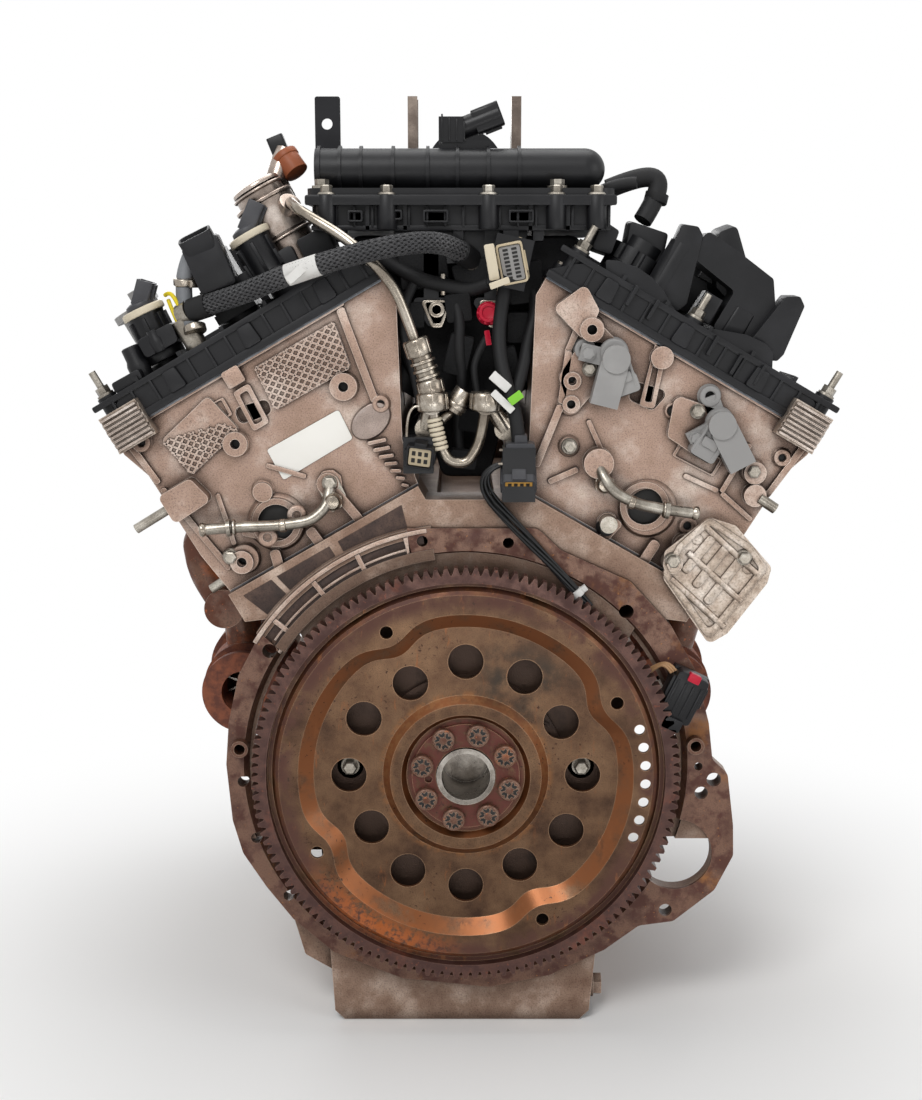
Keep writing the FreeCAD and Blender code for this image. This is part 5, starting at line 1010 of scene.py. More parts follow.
def left_head():
    """Bosses, pads, ribs and bare places on the rear face of the left head."""
    shape = Shape(CAST)
    for m, n, radius, hole, height in ((24.6, 326.4, 10, 4.5, 4), (-73.8, 322.6, 11, 5, 5),
                                       (68.4, 242.8, 12, 5, 6), (26.6, 283.5, 8.5, 4, 3.5),
                                       (91, 365.6, 7.5, 3, 5), (-92, 296, 7, 3, 4)):
        boss(shape, spot(LEFT, m, n), radius, hole, height)
    pad(shape, LEFT, [(-9, 366), (7, 366), (7, 381), (-9, 381)], 6)
    shape.cup(on_bank(LEFT, [(-9, 363), (6, 363), (8, 328), (-7, 328)]),
              on_bank(LEFT, [(-5, 359), (2.5, 359), (4.5, 332), (-3.5, 332)]), HEAD_FACE - 1, HEAD_FACE + 3.5,
              BACK[LEFT], 3)
    for corners, height in (([(-108, 386), (-108, 378), (104, 378), (104, 386)], 3.5),
                            ([(-106, 378), (-99, 378), (-86, 300), (-92, 298)], 3.5),
                            ([(98, 378), (104, 378), (99, 330), (94, 330)], 3.5),
                            ([(94, 326), (99, 326), (86, 240), (81, 242)], 3)):
        pad(shape, LEFT, corners, height)
    for start, end, width, height in (((43, 238), (50, 212), 9, 8), ((9.8, 239), (7, 214), 9, 8),
                                      ((-24, 256), (-30, 222), 8, 7), ((70, 256), (60, 300), 4, 3),
                                      ((14, 300), (-10, 275), 4, 2.5), ((60, 262), (30, 236), 4, 3)):
        rib(shape, LEFT, start, end, width, height)
    for k in range(7):
        rib(shape, LEFT, (-66 - 1.2 * k, 274 - 7 * k), (-82 + 0.6 * k, 269 - 7 * k), 3.2, 5)
    eighths = [k * 0.7854 for k in range(8)]
    pad(shape, LEFT, [(-24 + 11 * math.cos(a), 262 + 11 * math.sin(a)) for a in eighths], 4)
    shape.use(PAD_CAST)
    for corners in LEFT_FIELDS:
        pad(shape, LEFT, corners, 0.5, 2, 0.2)
    frame_place(shape.use(CAST), LEFT, [(53.5, 364), (15, 364), (15.5, 348.5), (55.5, 345.5)], 1.6, 2.2)
    port_ring(shape, LEFT, 30.2, 255.3)
    shape.finish("head_left_casting", bevel=0.5)
    oval = [(19 * x, 13.5 * y) for x, y in circle(1, 32)]
    tab = Shape(DIE_CAST).prism(oval, -1, 3, spot(LEFT, -78, 288, 0, 12), 0, 1.5)
    tab.finish("head_left_oval_tab", bevel=0.6)
    boss(Shape(CAST), spot(LEFT, 84, 309), 11, 4, 9).finish("head_left_side_boss", bevel=0.3)


def hatching():
    """The crossed bars that fill the two fields of the left head."""
    rows = []
    for corners in LEFT_FIELDS:
        for angle in HATCH_TURNS:
            rows += field_rows(LEFT, corners, angle, HATCH_PITCH, HATCH_HEIGHT)
    bars("head_left_hatching", rows, CAST, HATCH_WIDTH, HATCH_HEIGHT)


def blank_label():
    """The sticker on the left head, with nothing printed on it."""
    corners = on_bank(LEFT, [(7, 310), (-60, 309), (-58, 283), (8, 282)])
    label = Shape(LABEL).prism(corners, HEAD_FACE + 0.2, HEAD_FACE + 0.9, BACK[LEFT], 2.5)
    label.finish("blank_label", bevel=0.1)


def right_head():
    """Bosses, pads, ribs and bare places on the rear face of the right head."""
    shape = Shape(CAST)
    for m, n, radius, hole, height in ((-95, 363, 11, 5, 5), (-87.4, 321, 9.5, 2.2, 3.5),
                                       (-79, 304, 9.5, 4.5, 4), (-4.4, 340, 6.5, 4, 3),
                                       (77, 331, 9.5, 4, 4), (-62, 274, 8, 3.5, 4),
                                       (11.7, 329, 10, 2, 3), (92, 352, 7, 3, 4), (55, 266, 7, 3.2, 4)):
        boss(shape, spot(RIGHT, m, n), radius, hole, height)
    for corners, height in (([(-104, 386), (-104, 378), (108, 378), (108, 386)], 3.5),
                            ([(-110, 380), (-104, 380), (-99, 336), (-104, 336)], 4),
                            ([(100, 378), (106, 378), (100, 318), (95, 318)], 3.5)):
        pad(shape, RIGHT, corners, height)
    for start, end, width, height in (((-101.6, 340), (-85, 300), 6, 6), ((-85, 300), (-77, 246), 6, 6),
                                      ((63.4, 349), (63.8, 303), 4, 5), ((63.8, 303), (98, 296), 4, 4),
                                      ((39, 244), (38, 212), 9, 8), ((4, 243), (-2, 214), 9, 8),
                                      ((-46, 262), (-62, 240), 5, 4), ((-60, 300), (-36, 283), 4, 3),
                                      ((30, 300), (62, 303), 4, 3)):
        rib(shape, RIGHT, start, end, width, height)
    shape.cup(on_bank(RIGHT, [(-45, 380), (-34, 380), (-18, 334), (-30, 330)]),
              on_bank(RIGHT, [(-41, 375), (-36.5, 375), (-22.5, 337), (-28, 335)]), HEAD_FACE - 1,
              HEAD_FACE + 3.5, BACK[RIGHT], 3)
    shape.lathe([(7, -1), (6.4, 5), (5.4, 6)], spot(RIGHT, -32, 373.6), 20)
    frame_place(shape, RIGHT, [(52, 327), (14, 324), (14, 309), (52, 311)], 1.6, 2.2)
    port_ring(shape, RIGHT, 19.5, 262)
    shape.finish("head_right_casting", bevel=0.5)
    Shape(RUBBER).lathe([(8, -1), (8, 4), (6, 10), (5.6, 14), (3, 15)], spot(RIGHT, -2.2, 232),
                        24).finish("head_right_rubber_plug", bevel=0.4)


def rear_bolts():
    """The bolts in the rear faces of the heads and the block."""
    places = [(LEFT, -24, 262), (LEFT, 77, 250), (RIGHT, 77, 331), (RIGHT, 12.5, 349.7),
              (RIGHT, -79.8, 335.6), (RIGHT, -62, 274)]
    rows = [(bank(side, m, HEAD_REAR_Y - 5, n), REARWARD) for side, m, n in places]
    rows += [(bank(RIGHT, m, -9, n), REARWARD) for m, n in ((55.6, 237), (104, 268))]
    bolts("rear_face_bolts", rows, ZINC, 9, 4.5, 7, 1.6)


def cam_sensor(name, m, n, ear_m, ear_n, end_m, end_n):
    """A cam position sensor: a round head in the casting, a plug that points down and an ear for a bolt."""
    shape = Shape(PBT_GREY)
    down = Vector((end_m - m, end_n - n)).normalized()
    turn = math.degrees(math.atan2(down.x, -down.y))
    at = spot(RIGHT, m, n, 0, turn)
    length = math.hypot(end_m - m, end_n - n)
    shape.lathe([(12.5, -1), (12.5, 3), (11.5, 4), (11.5, 15), (10.5, 16.5), (4, 16.5), (3.4, 15.2),
                 (0.1, 15.2)], at, 40)
    shape.box((-10, -length, 6), (10, 4, 17), at, 3, 0.6)
    shape.box((-11.5, -length - 2, 4), (11.5, -length + 14, 20), at, 4, 0.8)
    shape.box((-7, -length + 8, 19), (7, -length + 16, 22), at, 1.5, 0.6)
    for k in (-1, 1):
        shape.box((k * 8.5 - 1, -length + 2, 19), (k * 8.5 + 1, -6, 20.5), at, 0.4)
    ear = Vector((ear_m, ear_n)) - Vector((m, n))
    ear_at = spot(RIGHT, ear_m, ear_n)
    boss(shape, ear_at, 8.5, 4, 7)
    rib_turn = math.degrees(math.atan2(ear.y, ear.x))
    bridge = spot(RIGHT, m, n, 0, rib_turn)
    shape.box((0, -7, 1), (ear.length, 7, 6), bridge, 2)
    shape.finish(name, bevel=0.5)
    # A dark block of painted shade in the plug's mouth.
    Shape(HOLE_SHADE).box((-8, -length - 2.2, 7), (8, -length + 1, 17), at, 2).finish(name + "_mouth")


def right_shield():
    """The stamped heat shield over the right exhaust, with three long beads and a rolled rim."""
    corners = [(62, 282.5), (103.7, 279.6), (125.8, 270), (116, 195), (53.8, 223.8), (52, 249.7)]
    inner = [(66, 277), (102, 274.5), (119.5, 266.5), (111, 203), (59, 227), (57, 248)]
    level = 6.0
    shape = Shape(SHIELD)
    shape.cup(on_bank(RIGHT, corners), on_bank(RIGHT, inner), level, level + 4.2, BACK[RIGHT], 6)
    for low, high in (((68, 232), (74, 272)), ((82, 226), (88, 271)), ((97, 219), (103, 268))):
        start, end = Vector(low), Vector(high)
        aside = Vector((4.2, -0.5))
        shape.prism(on_bank(RIGHT, [start - aside, end - aside, end + aside, start + aside]), level,
                    level + 4, BACK[RIGHT], 4, 2.0)
    for m, n in ((112, 262), (109, 214), (64, 262)):
        shape.lathe([(6, level), (4.5, level + 2.6), (2, level + 2.6)],
                    BACK[RIGHT] @ Matrix.Translation((m, n, 0)), 24)
    shape.finish("shield_beads", bevel=0.8)


def corner_block(side):
    """The finned cast bracket at a head's top outer corner."""
    across = BACK[side].to_3x3() @ Vector((1, 0, 0))
    rows = [(BACK[side] @ Vector((side * 91, 368.5 + 3.8 * k, 5.5)), across, 32, REARWARD) for k in range(8)]
    bars("corner_block_fins_" + SIDE_NAMES[side], rows, MILLED, 1.7, 3.2)


def tube_beads():
    """The upset beads, hexes and push-on end of the two coolant tubes."""
    shape = Shape(NICKEL)
    left = [Vector(p) for p in ((-214, -8, 202.5), (-184, -8, 205), (-150, -8, 206), (-124, -8, 210),
                                (-112, -4, 221))]
    right = [Vector(p) for p in ((187, -8, 216), (160, -8, 219), (136, -8, 224), (119, -8, 233),
                                 (110, -4, 245))]
    for line in (left, right):
        end_axis = line[1] - line[0]
        shape.lathe([(4.4, 0), (5.6, 1), (5.8, 3), (4.4, 6)], seat(line[0], end_axis), 24)
        bead = line[0] + end_axis.normalized() * 26
        shape.lathe([(4.4, 0), (6.6, 1.2), (6.6, 2.6), (4.4, 4)], seat(bead, end_axis), 24)
        shape.lathe([(4.4, 0), (5.4, 1), (5.4, 5), (4.4, 6)], seat(line[2], line[3] - line[1]), 24)
    for side, m, n in ((LEFT, -19.3, 248), (RIGHT, -22.5, 262.4)):
        at = spot(side, m, n, 4)
        shape.prism(circle(9, 6), 0, 9, at, 0.5, 0.6)
        shape.lathe([(7.5, 9), (6.5, 13), (5, 15)], at, 24)
    shape.finish("coolant_tube_beads", bevel=0.25)


left_head()
hatching()
blank_label()
right_head()
rear_bolts()
cam_sensor("cam_sensor_inboard", -70, 356, -90.7, 347, -45.6, 335)
cam_sensor("cam_sensor_outboard", 32, 351, 15, 365, 32, 320.6)
right_shield()
corner_block(LEFT)
corner_block(RIGHT)
tube_beads()


# The valley between the banks: fuel crossover, plugs, tags, hose and wires. Places are (x, y, z).
# UPRIGHT's x is +X, its y is +Z and its z points at the viewer.
UPRIGHT = seat((0, 0, 0))
HOSE_ROUTE = [(-220, 22, 376), (-198, 12, 383), (-172, 3, 391), (-143, -5, 403), (-112, -12, 413),
              (-82, -15, 421), (-54, -13, 427), (-29, -1, 430), (-8, 19, 426), (4, 38, 416)]
HARNESS_ROUTE = [(31, 15, 394), (28, 14, 377), (26, 11, 356), (28, 5, 334), (34, -2, 312), (41, -7, 290),
                 (42, -7, 270)]
SENSOR_ROUTE = [(28.9, -8, 256), (19, -8, 253), (14, -8, 243), (18, -8, 230), (36, -9, 210), (53, -9.5, 192),
                (70, -9.5, 174), (86, -9.5, 156), (100, -9.5, 140)]
# How far the six wires stand apart at each place of their route.
SENSOR_SPREAD = [1.2, 2.6, 3.4, 3.6, 3.2, 3.0, 2.4, 2.4, 2.4]


def valley_pad():
    """The foam pad and the looms that darken the valley."""
    shape = Shape(FOAM)
    shape.prism([(-20, 236), (20, 236), (34, 290), (62, 350), (92, 398), (96, 436), (-96, 436), (-92, 398),
                 (-62, 350), (-34, 290)], -66, -54, UPRIGHT, 10, 3)
    for x, z, wide, tall, y in ((-34, 408, 40, 30, 46), (12, 404, 44, 26, 44), (48, 398, 30, 34, 42),
                                (-6, 378, 22, 24, 40), (-44, 372, 22, 22, 44), (46, 362, 26, 26, 42),
                                (-6, 340, 20, 34, 38), (34, 334, 18, 26, 34), (-16, 300, 16, 22, 42),
                                (6, 286, 26, 18, 40), (-2, 256, 24, 16, 30)):
        at = seat((x, y, z), turn=7 * (z % 5) - 14)
        shape.box((-wide / 2, -tall / 2, 0), (wide / 2, tall / 2, 12), at, 3, 1)
    shape.finish("valley_pad", bevel=0.8)
    loom = Shape(RUBBER)
    for route, radius in (([(-70, 50, 420), (-44, 30, 402), (-18, 32, 396), (10, 34, 390), (44, 40, 410)], 6),
                          ([(-40, 34, 400), (-52, 30, 380), (-50, 24, 352), (-42, 20, 330), (-36, 16, 300)],
                           4),
                          ([(52, 40, 404), (58, 30, 380), (50, 22, 352), (46, 14, 330), (40, 8, 312)], 5),
                          ([(-12, 36, 396), (-4, 30, 372), (-6, 26, 346), (-2, 30, 318), (-8, 34, 280),
                            (-4, 30, 248)], 4.5),
                          ([(18, 30, 356), (8, 26, 340), (6, 24, 322), (12, 22, 300)], 3)):
        loom.tube(route, radius, 14)
    loom.finish("valley_looms", soft=60)


def valley_plates():
    """Two stamped plates with eyes behind the crossover, and their studs."""
    shape = Shape(NICKEL)
    for x in (-23.6, 23):
        at = seat((x, 33, 374))
        shape.cup([(-13, 10), (13, 10), (4, -12), (-4, -12)], [(-10, 8.4), (10, 8.4), (3, -9), (-3, -9)], 0,
                  1.8, at, 3)
        shape.lathe([(6.5, 0.4), (6.5, 2.4), (3.6, 2.4), (3.6, 0.4)], at @ Matrix.Translation((0, 2.5, 0)),
                    24, ring=True)
    shape.rod((-18.2, 31, 388), (-18.2, 31, 405), 2.4)
    shape.rod((27, 31, 388), (27, 31, 405), 2.4)
    shape.finish("valley_plates", bevel=0.3)


def red_cap():
    """The knurled red cap in the valley and the tag that hangs under it."""
    shape = Shape(PBT_RED)
    at = seat((18.2, 31, 373.4), (0, -1, 0.1))
    shape.lathe([(9.5, -2), (9.5, 3.5), (8.6, 4.4), (8.2, 9), (7.4, 10), (5.2, 10), (4.8, 8.6), (0.1, 8.6)],
                at, 40)
    for k in range(10):
        a = TURN * k / 10
        shape.box((7.6, -0.9, 3.8), (9.2, 0.9, 9), at @ Matrix.Rotation(a, 4, "Z"), 0.3)
    shape.finish("valley_red_cap", bevel=0.3)
    tag = Shape(PBT_RED)
    tag.box((-2.2, -6, 0), (2.2, 6, 0.8), seat((17.6, 22, 354.3), (0.2, -1, 0.1), None, 8), 0.8)
    tag.finish("valley_red_tag", bevel=0.15)


def crossover_fittings():
    """Ball-end nuts, hexes and turned rings of the fuel crossover."""
    shape = Shape(NICKEL)
    for start, end, across in (((-40, -1, 353), (-36.5, -1, 342), 19), ((-29, -1, 321), (-27, -1, 312), 20),
                               ((-27, -1, 311), (-26.2, -1, 299), 23), ((16, -1, 311), (15, -1, 299), 23)):
        axis = Vector(end) - Vector(start)
        corner = across / 2 / math.cos(math.pi / 6)
        at = seat(start, axis, (0, -1, 0))
        length = axis.length
        shape.prism(circle(corner, 6), 0, length, at, 0.8)
        shape.lathe([(corner - 1.6, -1.4), (corner - 0.4, 0.4), (corner - 0.4, length - 0.4),
                     (corner - 1.6, length + 1.4)],
                    at, 36)
    for k in range(3):
        step = Vector((-36, -1, 342)).lerp(Vector((-29, -1, 321)), 0.2 + 0.28 * k)
        shape.lathe([(9.4, 0), (10.3, 0.6), (10.3, 2.4), (9.4, 3)], seat(step, (7, 0, -21)), 32)
    shape.rod((-0.5, 8, 313), (-11, 8, 297), 8.5, 32)
    shape.lathe([(9.4, 0), (9.4, 4), (7, 5)], seat((-7, 8, 303), (-10, 0, -16)), 32)
    shape.rod((-12, 8, 296), (-20, 4, 290), 4)
    shape.finish("crossover_fittings", bevel=0.3)
    spiral = Shape(CREAM)
    for k in range(7):
        spiral.lathe([(5.4, 0), (6.2, 0.8), (6.2, 2.2), (5.4, 3)],
                     seat(Vector((-25.6, -2, 292)).lerp(Vector((-19.5, -3, 266)), k / 7), (6, -1, -26)), 20)
    spiral.finish("crossover_clear_wrap", bevel=0.2)


def plug(name, at, wide, tall, deep, shell, insert, columns, rows, corner=2.0, latch=1):
    """A connector seen into its mouth: walls, insert with cavities, ribs on its sides and a latch."""
    shape = Shape(shell)
    w, t = wide / 2, tall / 2
    shape.cup(rectangle(w, t), rectangle(w - 1.6, t - 1.6), -deep, 0, at, corner, -5)
    shape.box((-w - 1.3, -t * 0.5, -deep * 0.8), (-w + 0.5, t * 0.5, -2), at, 0.5)
    shape.box((w - 0.5, -t * 0.5, -deep * 0.8), (w + 1.3, t * 0.5, -2), at, 0.5)
    if latch:
        shape.box((-wide * 0.22, latch * (t + 1.6) - 1.6, -deep * 0.9),
                  (wide * 0.22, latch * (t + 1.6) + 1.6, 0.5), at, 0.8)
    shape.box((-w - 0.8, -t - 0.8, -deep - 1), (w + 0.8, t + 0.8, -deep + 3), at, corner)
    shape.finish(name, bevel=0.35)
    core = Shape(insert)
    core.box((2.2 - w, 2.2 - t, -6), (w - 2.2, t - 2.2, -1.6), at, corner * 0.6)
    core.finish(name + "_insert", bevel=0.2)
    # Dark floors of painted shade in the cavities.
    holes = Shape(HOLE_SHADE)
    across, up = (wide - 7) / columns, (tall - 7) / rows
    for i in range(columns):
        for j in range(rows):
            x, y = (i + 0.5) * across - (wide - 7) / 2, (j + 0.5) * up - (tall - 7) / 2
            holes.box((x - across * 0.3, y - up * 0.3, -1.9), (x + across * 0.3, y + up * 0.3, -1.2), at, 0.3)
    holes.finish(name + "_cavities")


def valley_plugs():
    """The three connectors in the valley, with a body, wire clips and a cream clip."""
    plug("plug_beige", seat((36, -1, 413), (-0.05, -1, -0.12), None, 11), 21, 32, 22, PBT_BEIGE, PBT_GREY,
         2, 8, 3, 0)
    plug("plug_twelve_pin", seat((41.8, -19.5, 236.5), (0, -0.78, -0.62), None, 0), 26, 21, 24,
         PBT_GREY_DARK, SEAL, 4, 3, 2.5, 1)
    plug("plug_six_pin", seat((-37, -12, 261), (-0.1, -0.95, -0.25), None, -8), 22, 19, 20, PBT_BLACK,
         PBT_BEIGE, 3, 2, 3, 1)
    shape = Shape(PBT_GREY_DARK)
    shape.box((-12, -16, -9), (12, 18, 9), seat((43, -10, 256)), 3, 0.6)
    shape.box((-5, 14, -7), (6, 24, 7), seat((43, -8, 256)), 2, 0.6)
    shape.finish("plug_twelve_pin_body", bevel=0.6)
    clip = Shape(NICKEL)
    clip.tube([(27, -15, 268), (33, -18, 269), (34, -18, 262)], 1.2)
    clip.tube([(26, -15, 257), (32, -18, 258), (33, -18, 252)], 1.2)
    clip.tube([(-29, -6, 300), (-37, -8, 303), (-44, -8, 300), (-47, -9, 288), (-47, -9, 278)], 1.1)
    clip.finish("plug_wire_clips", soft=60)
    cream = Shape(CREAM)
    cream.box((-4, -14, 0), (4, 14, 5), seat((20, -4, 414), turn=10), 1.5)
    cream.box((-8, -2.5, 0), (8, 2.5, 7), seat((26, -10, 398), turn=20), 1)
    cream.finish("plug_beige_clip", bevel=0.4)


def tags():
    """White and green tape tags round the harness."""
    shape = Shape(TAPE)
    shape.box((-9, -4, 0), (9, 4, 1.2), seat((27, -7, 321), (0.2, -1, 0.2), None, -42), 1)
    shape.box((-11, -3, 0), (11, 3, 1.2), seat((29, -12, 306), (0.1, -1, 0.1), None, -44), 1)
    shape.finish("harness_white_tag", bevel=0.2)
    green = Shape(GREEN_TAPE)
    green.box((-6, -3.4, 0), (6, 3.4, 1.2), seat((39, -13, 309), (0.2, -1, 0.1), None, 35), 1)
    green.finish("harness_green_tag", bevel=0.2)


def cord_piece(name, route, radius_mm, rings, finish):
    """A round cord along a route, which rides on the engine."""
    core = stand(name, route_curve(name, route))
    core.data.bevel_depth = radius_mm * MM
    core.data.bevel_resolution = rings
    core.data.use_fill_caps = True
    core.data.materials.append(finish)
    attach(core, ENGINE)
    return core


def hose():
    """The vent hose: a rubber tube in a woven sleeve, with tape and crimped ends."""
    line = line_of(HOSE_ROUTE)
    sleeve = grow("vent_hose_sleeve", route_curve("vent_hose_sleeve", HOSE_ROUTE), "braid", BRAID, soft=60,
                  radius=7.4 * MM, strand_radius=0.85 * MM, strands=26, turns_per_metre=15.0)
    core = cord_piece("vent_hose", HOSE_ROUTE, 7.3, 5, RUBBER)
    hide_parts("braided_hose")
    tape = Shape(TAPE)
    middle = [p for p in line if -140 < p.x < -113]
    tape.tube([middle[0], middle[len(middle) // 2], middle[-1]], 8.7, 20)
    tape.box((-13, -3.5, 0), (13, 3.5, 0.8), seat((-128, -17, 408), (0, -1, 0.2), None, 42), 0.6)
    tape_piece = tape.finish("vent_hose_tape", soft=60)
    ends = Shape(RUBBER)
    ends.tube([line[0], line[2], line[5]], 9.6, 20)
    ends.tube([line[-1], line[-3], line[-6]], 9.6, 20)
    end_piece = ends.finish("vent_hose_ends", soft=60)


def wires():
    """The plug loom, and the six wires that run down to the crank sensor."""
    trunk = cord_piece("plug_loom", HARNESS_ROUTE, 5.6, 4, RUBBER)
    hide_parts("harness")
    length_of(line_of(HARNESS_ROUTE)) * MM
    twist = [0.9 + 0.4 * i for i in range(len(SENSOR_ROUTE))]
    for k in range(6):
        a = TURN * k / 6
        route = [(x + s * math.cos(a + t) * 0.9, y + s * 0.5 * math.sin(a + t) - 0.5,
                  z + s * math.sin(a + t + 0.6) * 0.9)
                 for (x, y, z), t, s in zip(SENSOR_ROUTE, twist, SENSOR_SPREAD)]
        wire = cord_piece("sensor_wire_%d" % (k + 1), route, 1.35, 3, WIRE)
        length_of(line_of(route)) * MM
    clamp = Shape(TAPE)
    at = seat((88, -9.5, 153), (12, 0, -16))
    clamp.lathe([(5.6, 0), (6, 0.5), (6, 5.5), (5.6, 6)], at, 28)
    clamp.box((-3, 5, 0.6), (3, 9.5, 5.4), at, 1)
    clamp.finish("sensor_wire_clamp", bevel=0.3)


valley_pad()
valley_plates()
red_cap()
crossover_fittings()
valley_plugs()
tags()
hose()
wires()


# Cam covers, intake and what stands on them
COVER_REAR_Y = 9
COVER_TOP_N = 408
RAIL_N = 380
COVER_M = (-146, 109)


def wall(shape, points, rear_y, front_y, corner=2.0, taper=0.0):
    """A prism from its outline in (x, z), between two depths."""
    return shape.prism(points, -front_y, -rear_y, UPRIGHT, corner, taper)


def cover_trim(side):
    """Flange, top bead, stiffening ribs and gasket line on the rear face of a cover."""
    shape = Shape(NYLON)
    face = -COVER_REAR_Y
    low_m, high_m = COVER_M
    for low_n, high_n, proud in ((RAIL_N + 1, RAIL_N + 7, 3.5), (COVER_TOP_N - 4, COVER_TOP_N + 1, 2.0)):
        strip = [(low_m - 2, low_n), (high_m + 2, low_n), (high_m + 2, high_n), (low_m - 2, high_n)]
        shape.prism(on_bank(side, strip), face - 1, face + proud, BACK[side], 1.5, 0.4)
    for k in range(14):
        m = low_m + 12 + 17.5 * k
        # Every fourth one is a wide bolt tower.
        foot, head, proud, corner, taper = (8, 6.5, 5, 3, 1) if k % 4 == 2 else (1.3, 1.1, 2.6, 0.5, 0.4)
        outline = [(m - foot, RAIL_N + 6), (m + foot, RAIL_N + 6), (m + head, COVER_TOP_N - 3),
                   (m - head, COVER_TOP_N - 3)]
        shape.prism(on_bank(side, outline), face - 1, face + proud, BACK[side], corner, taper)
    shape.finish("cover_trim_" + SIDE_NAMES[side], bevel=0.4)
    seal = Shape(GASKET)
    seal.prism(on_bank(side, [(low_m, RAIL_N - 0.6), (high_m, RAIL_N - 0.6), (high_m, RAIL_N + 1.2),
                              (low_m, RAIL_N + 1.2)]), face - 4, face + 0.6, BACK[side], 0.3)
    seal.finish("cover_gasket_edge_" + SIDE_NAMES[side])


def right_cover():
    """Towers, ribs and breather hose at the rear of the right cam cover."""
    shape = Shape(NYLON)
    wall(shape, [(111, 416), (122, 415), (136, 410), (148, 402), (157, 392), (164, 380), (172, 371),
                 (191, 363), (225, 357), (240, 350), (246, 343), (246, 322), (111, 400)], 14, 19, 2)
    wall(shape, [(228, 352), (250, 334), (256, 340), (272, 380), (268, 388), (256, 388)], 20, 42, 3, 1)
    wall(shape, [(148, 388), (170, 374), (178, 380), (190, 436), (186, 443), (173, 445)], 28, 46, 3, 1)
    wall(shape, [(133, 449), (167, 438), (160, 404), (128, 420)], 52, 78, 4, 2)
    wall(shape, [(100, 424), (118, 418), (126, 440), (110, 450)], 40, 66, 4, 2)
    wall(shape, [(206, 441), (222, 447), (244, 379), (232, 366), (204, 392)], 60, 92, 5, 3)
    for x, z in ((131, 388), (148, 377), (196, 349), (215, 334), (234, 325.5)):
        shape.box((-1.5, -9, 0), (1.5, 9, 4), seat((x, COVER_REAR_Y - 2, z), turn=-30), 0.6, 0.4)
    for k in range(5):
        shape.box((-1.2, 0, 0), (1.2, 16, 3), seat((212 + 7 * k, 60, 400 - 5 * k), turn=-24), 0.4)
    for m, n in ((-20, 424), (8, 426)):
        shape.box((-9, -12, 0), (9, 12, 22), bank_top(RIGHT, m, 40, n - 10), 3, 1)
    shape.finish("cover_right_towers", bevel=0.8)
    hose = Shape(RUBBER)
    hose.tube([(118, 84, 474), (140, 84, 483), (160, 82, 484), (158, 78, 466), (146, 72, 448)], 8, 18)
    hose.tube([(108, 70, 470), (124, 70, 478), (140, 66, 478)], 5, 16)
    hose.lathe([(9.8, 0), (9.8, 7), (9, 8)], seat((158.6, 79, 470), (-4, -2, -16)), 28)
    hose.finish("cover_right_breather_hose", soft=60)


def solenoid(name, foot, collar, mouth, y):
    """A cam timing solenoid: a ribbed black body, a cream collar and a plug with its mouth upwards."""
    foot, collar, mouth = (Vector((x, y, z)) for x, z in (foot, collar, mouth))
    axis = collar - foot
    at = seat(foot, axis, (0, -1, 0))
    length = axis.length
    shape = Shape(PBT_BLACK)
    shape.lathe([(17, -4), (17, 3), (15, 4), (15, length - 3), (16, length)], at, 36)
    for k in range(7):
        a = TURN * k / 7
        shape.box((14.4, -1.6, 3), (17.2, 1.6, length - 3), at @ Matrix.Rotation(a, 4, "Z"), 0.5)
    shape.use(CREAM).lathe([(17.5, length), (18, length + 1), (18, length + 5), (16.5, length + 6)], at, 36)
    shape.use(PBT_GREY_DARK).lathe([(12.5, length + 6), (12, length + 10), (8, length + 12)], at, 30)
    neck = seat(collar + axis.normalized() * 8, mouth - collar, (0, -1, 0))
    reach = (mouth - collar).length
    shape.cup(rectangle(9, 7), rectangle(7.4, 5.4), 0, reach, neck, 2.5, reach - 7)
    shape.box((-4, 6, reach * 0.35), (4, 9, reach - 1), neck, 0.8)
    shape.finish(name, bevel=0.5)


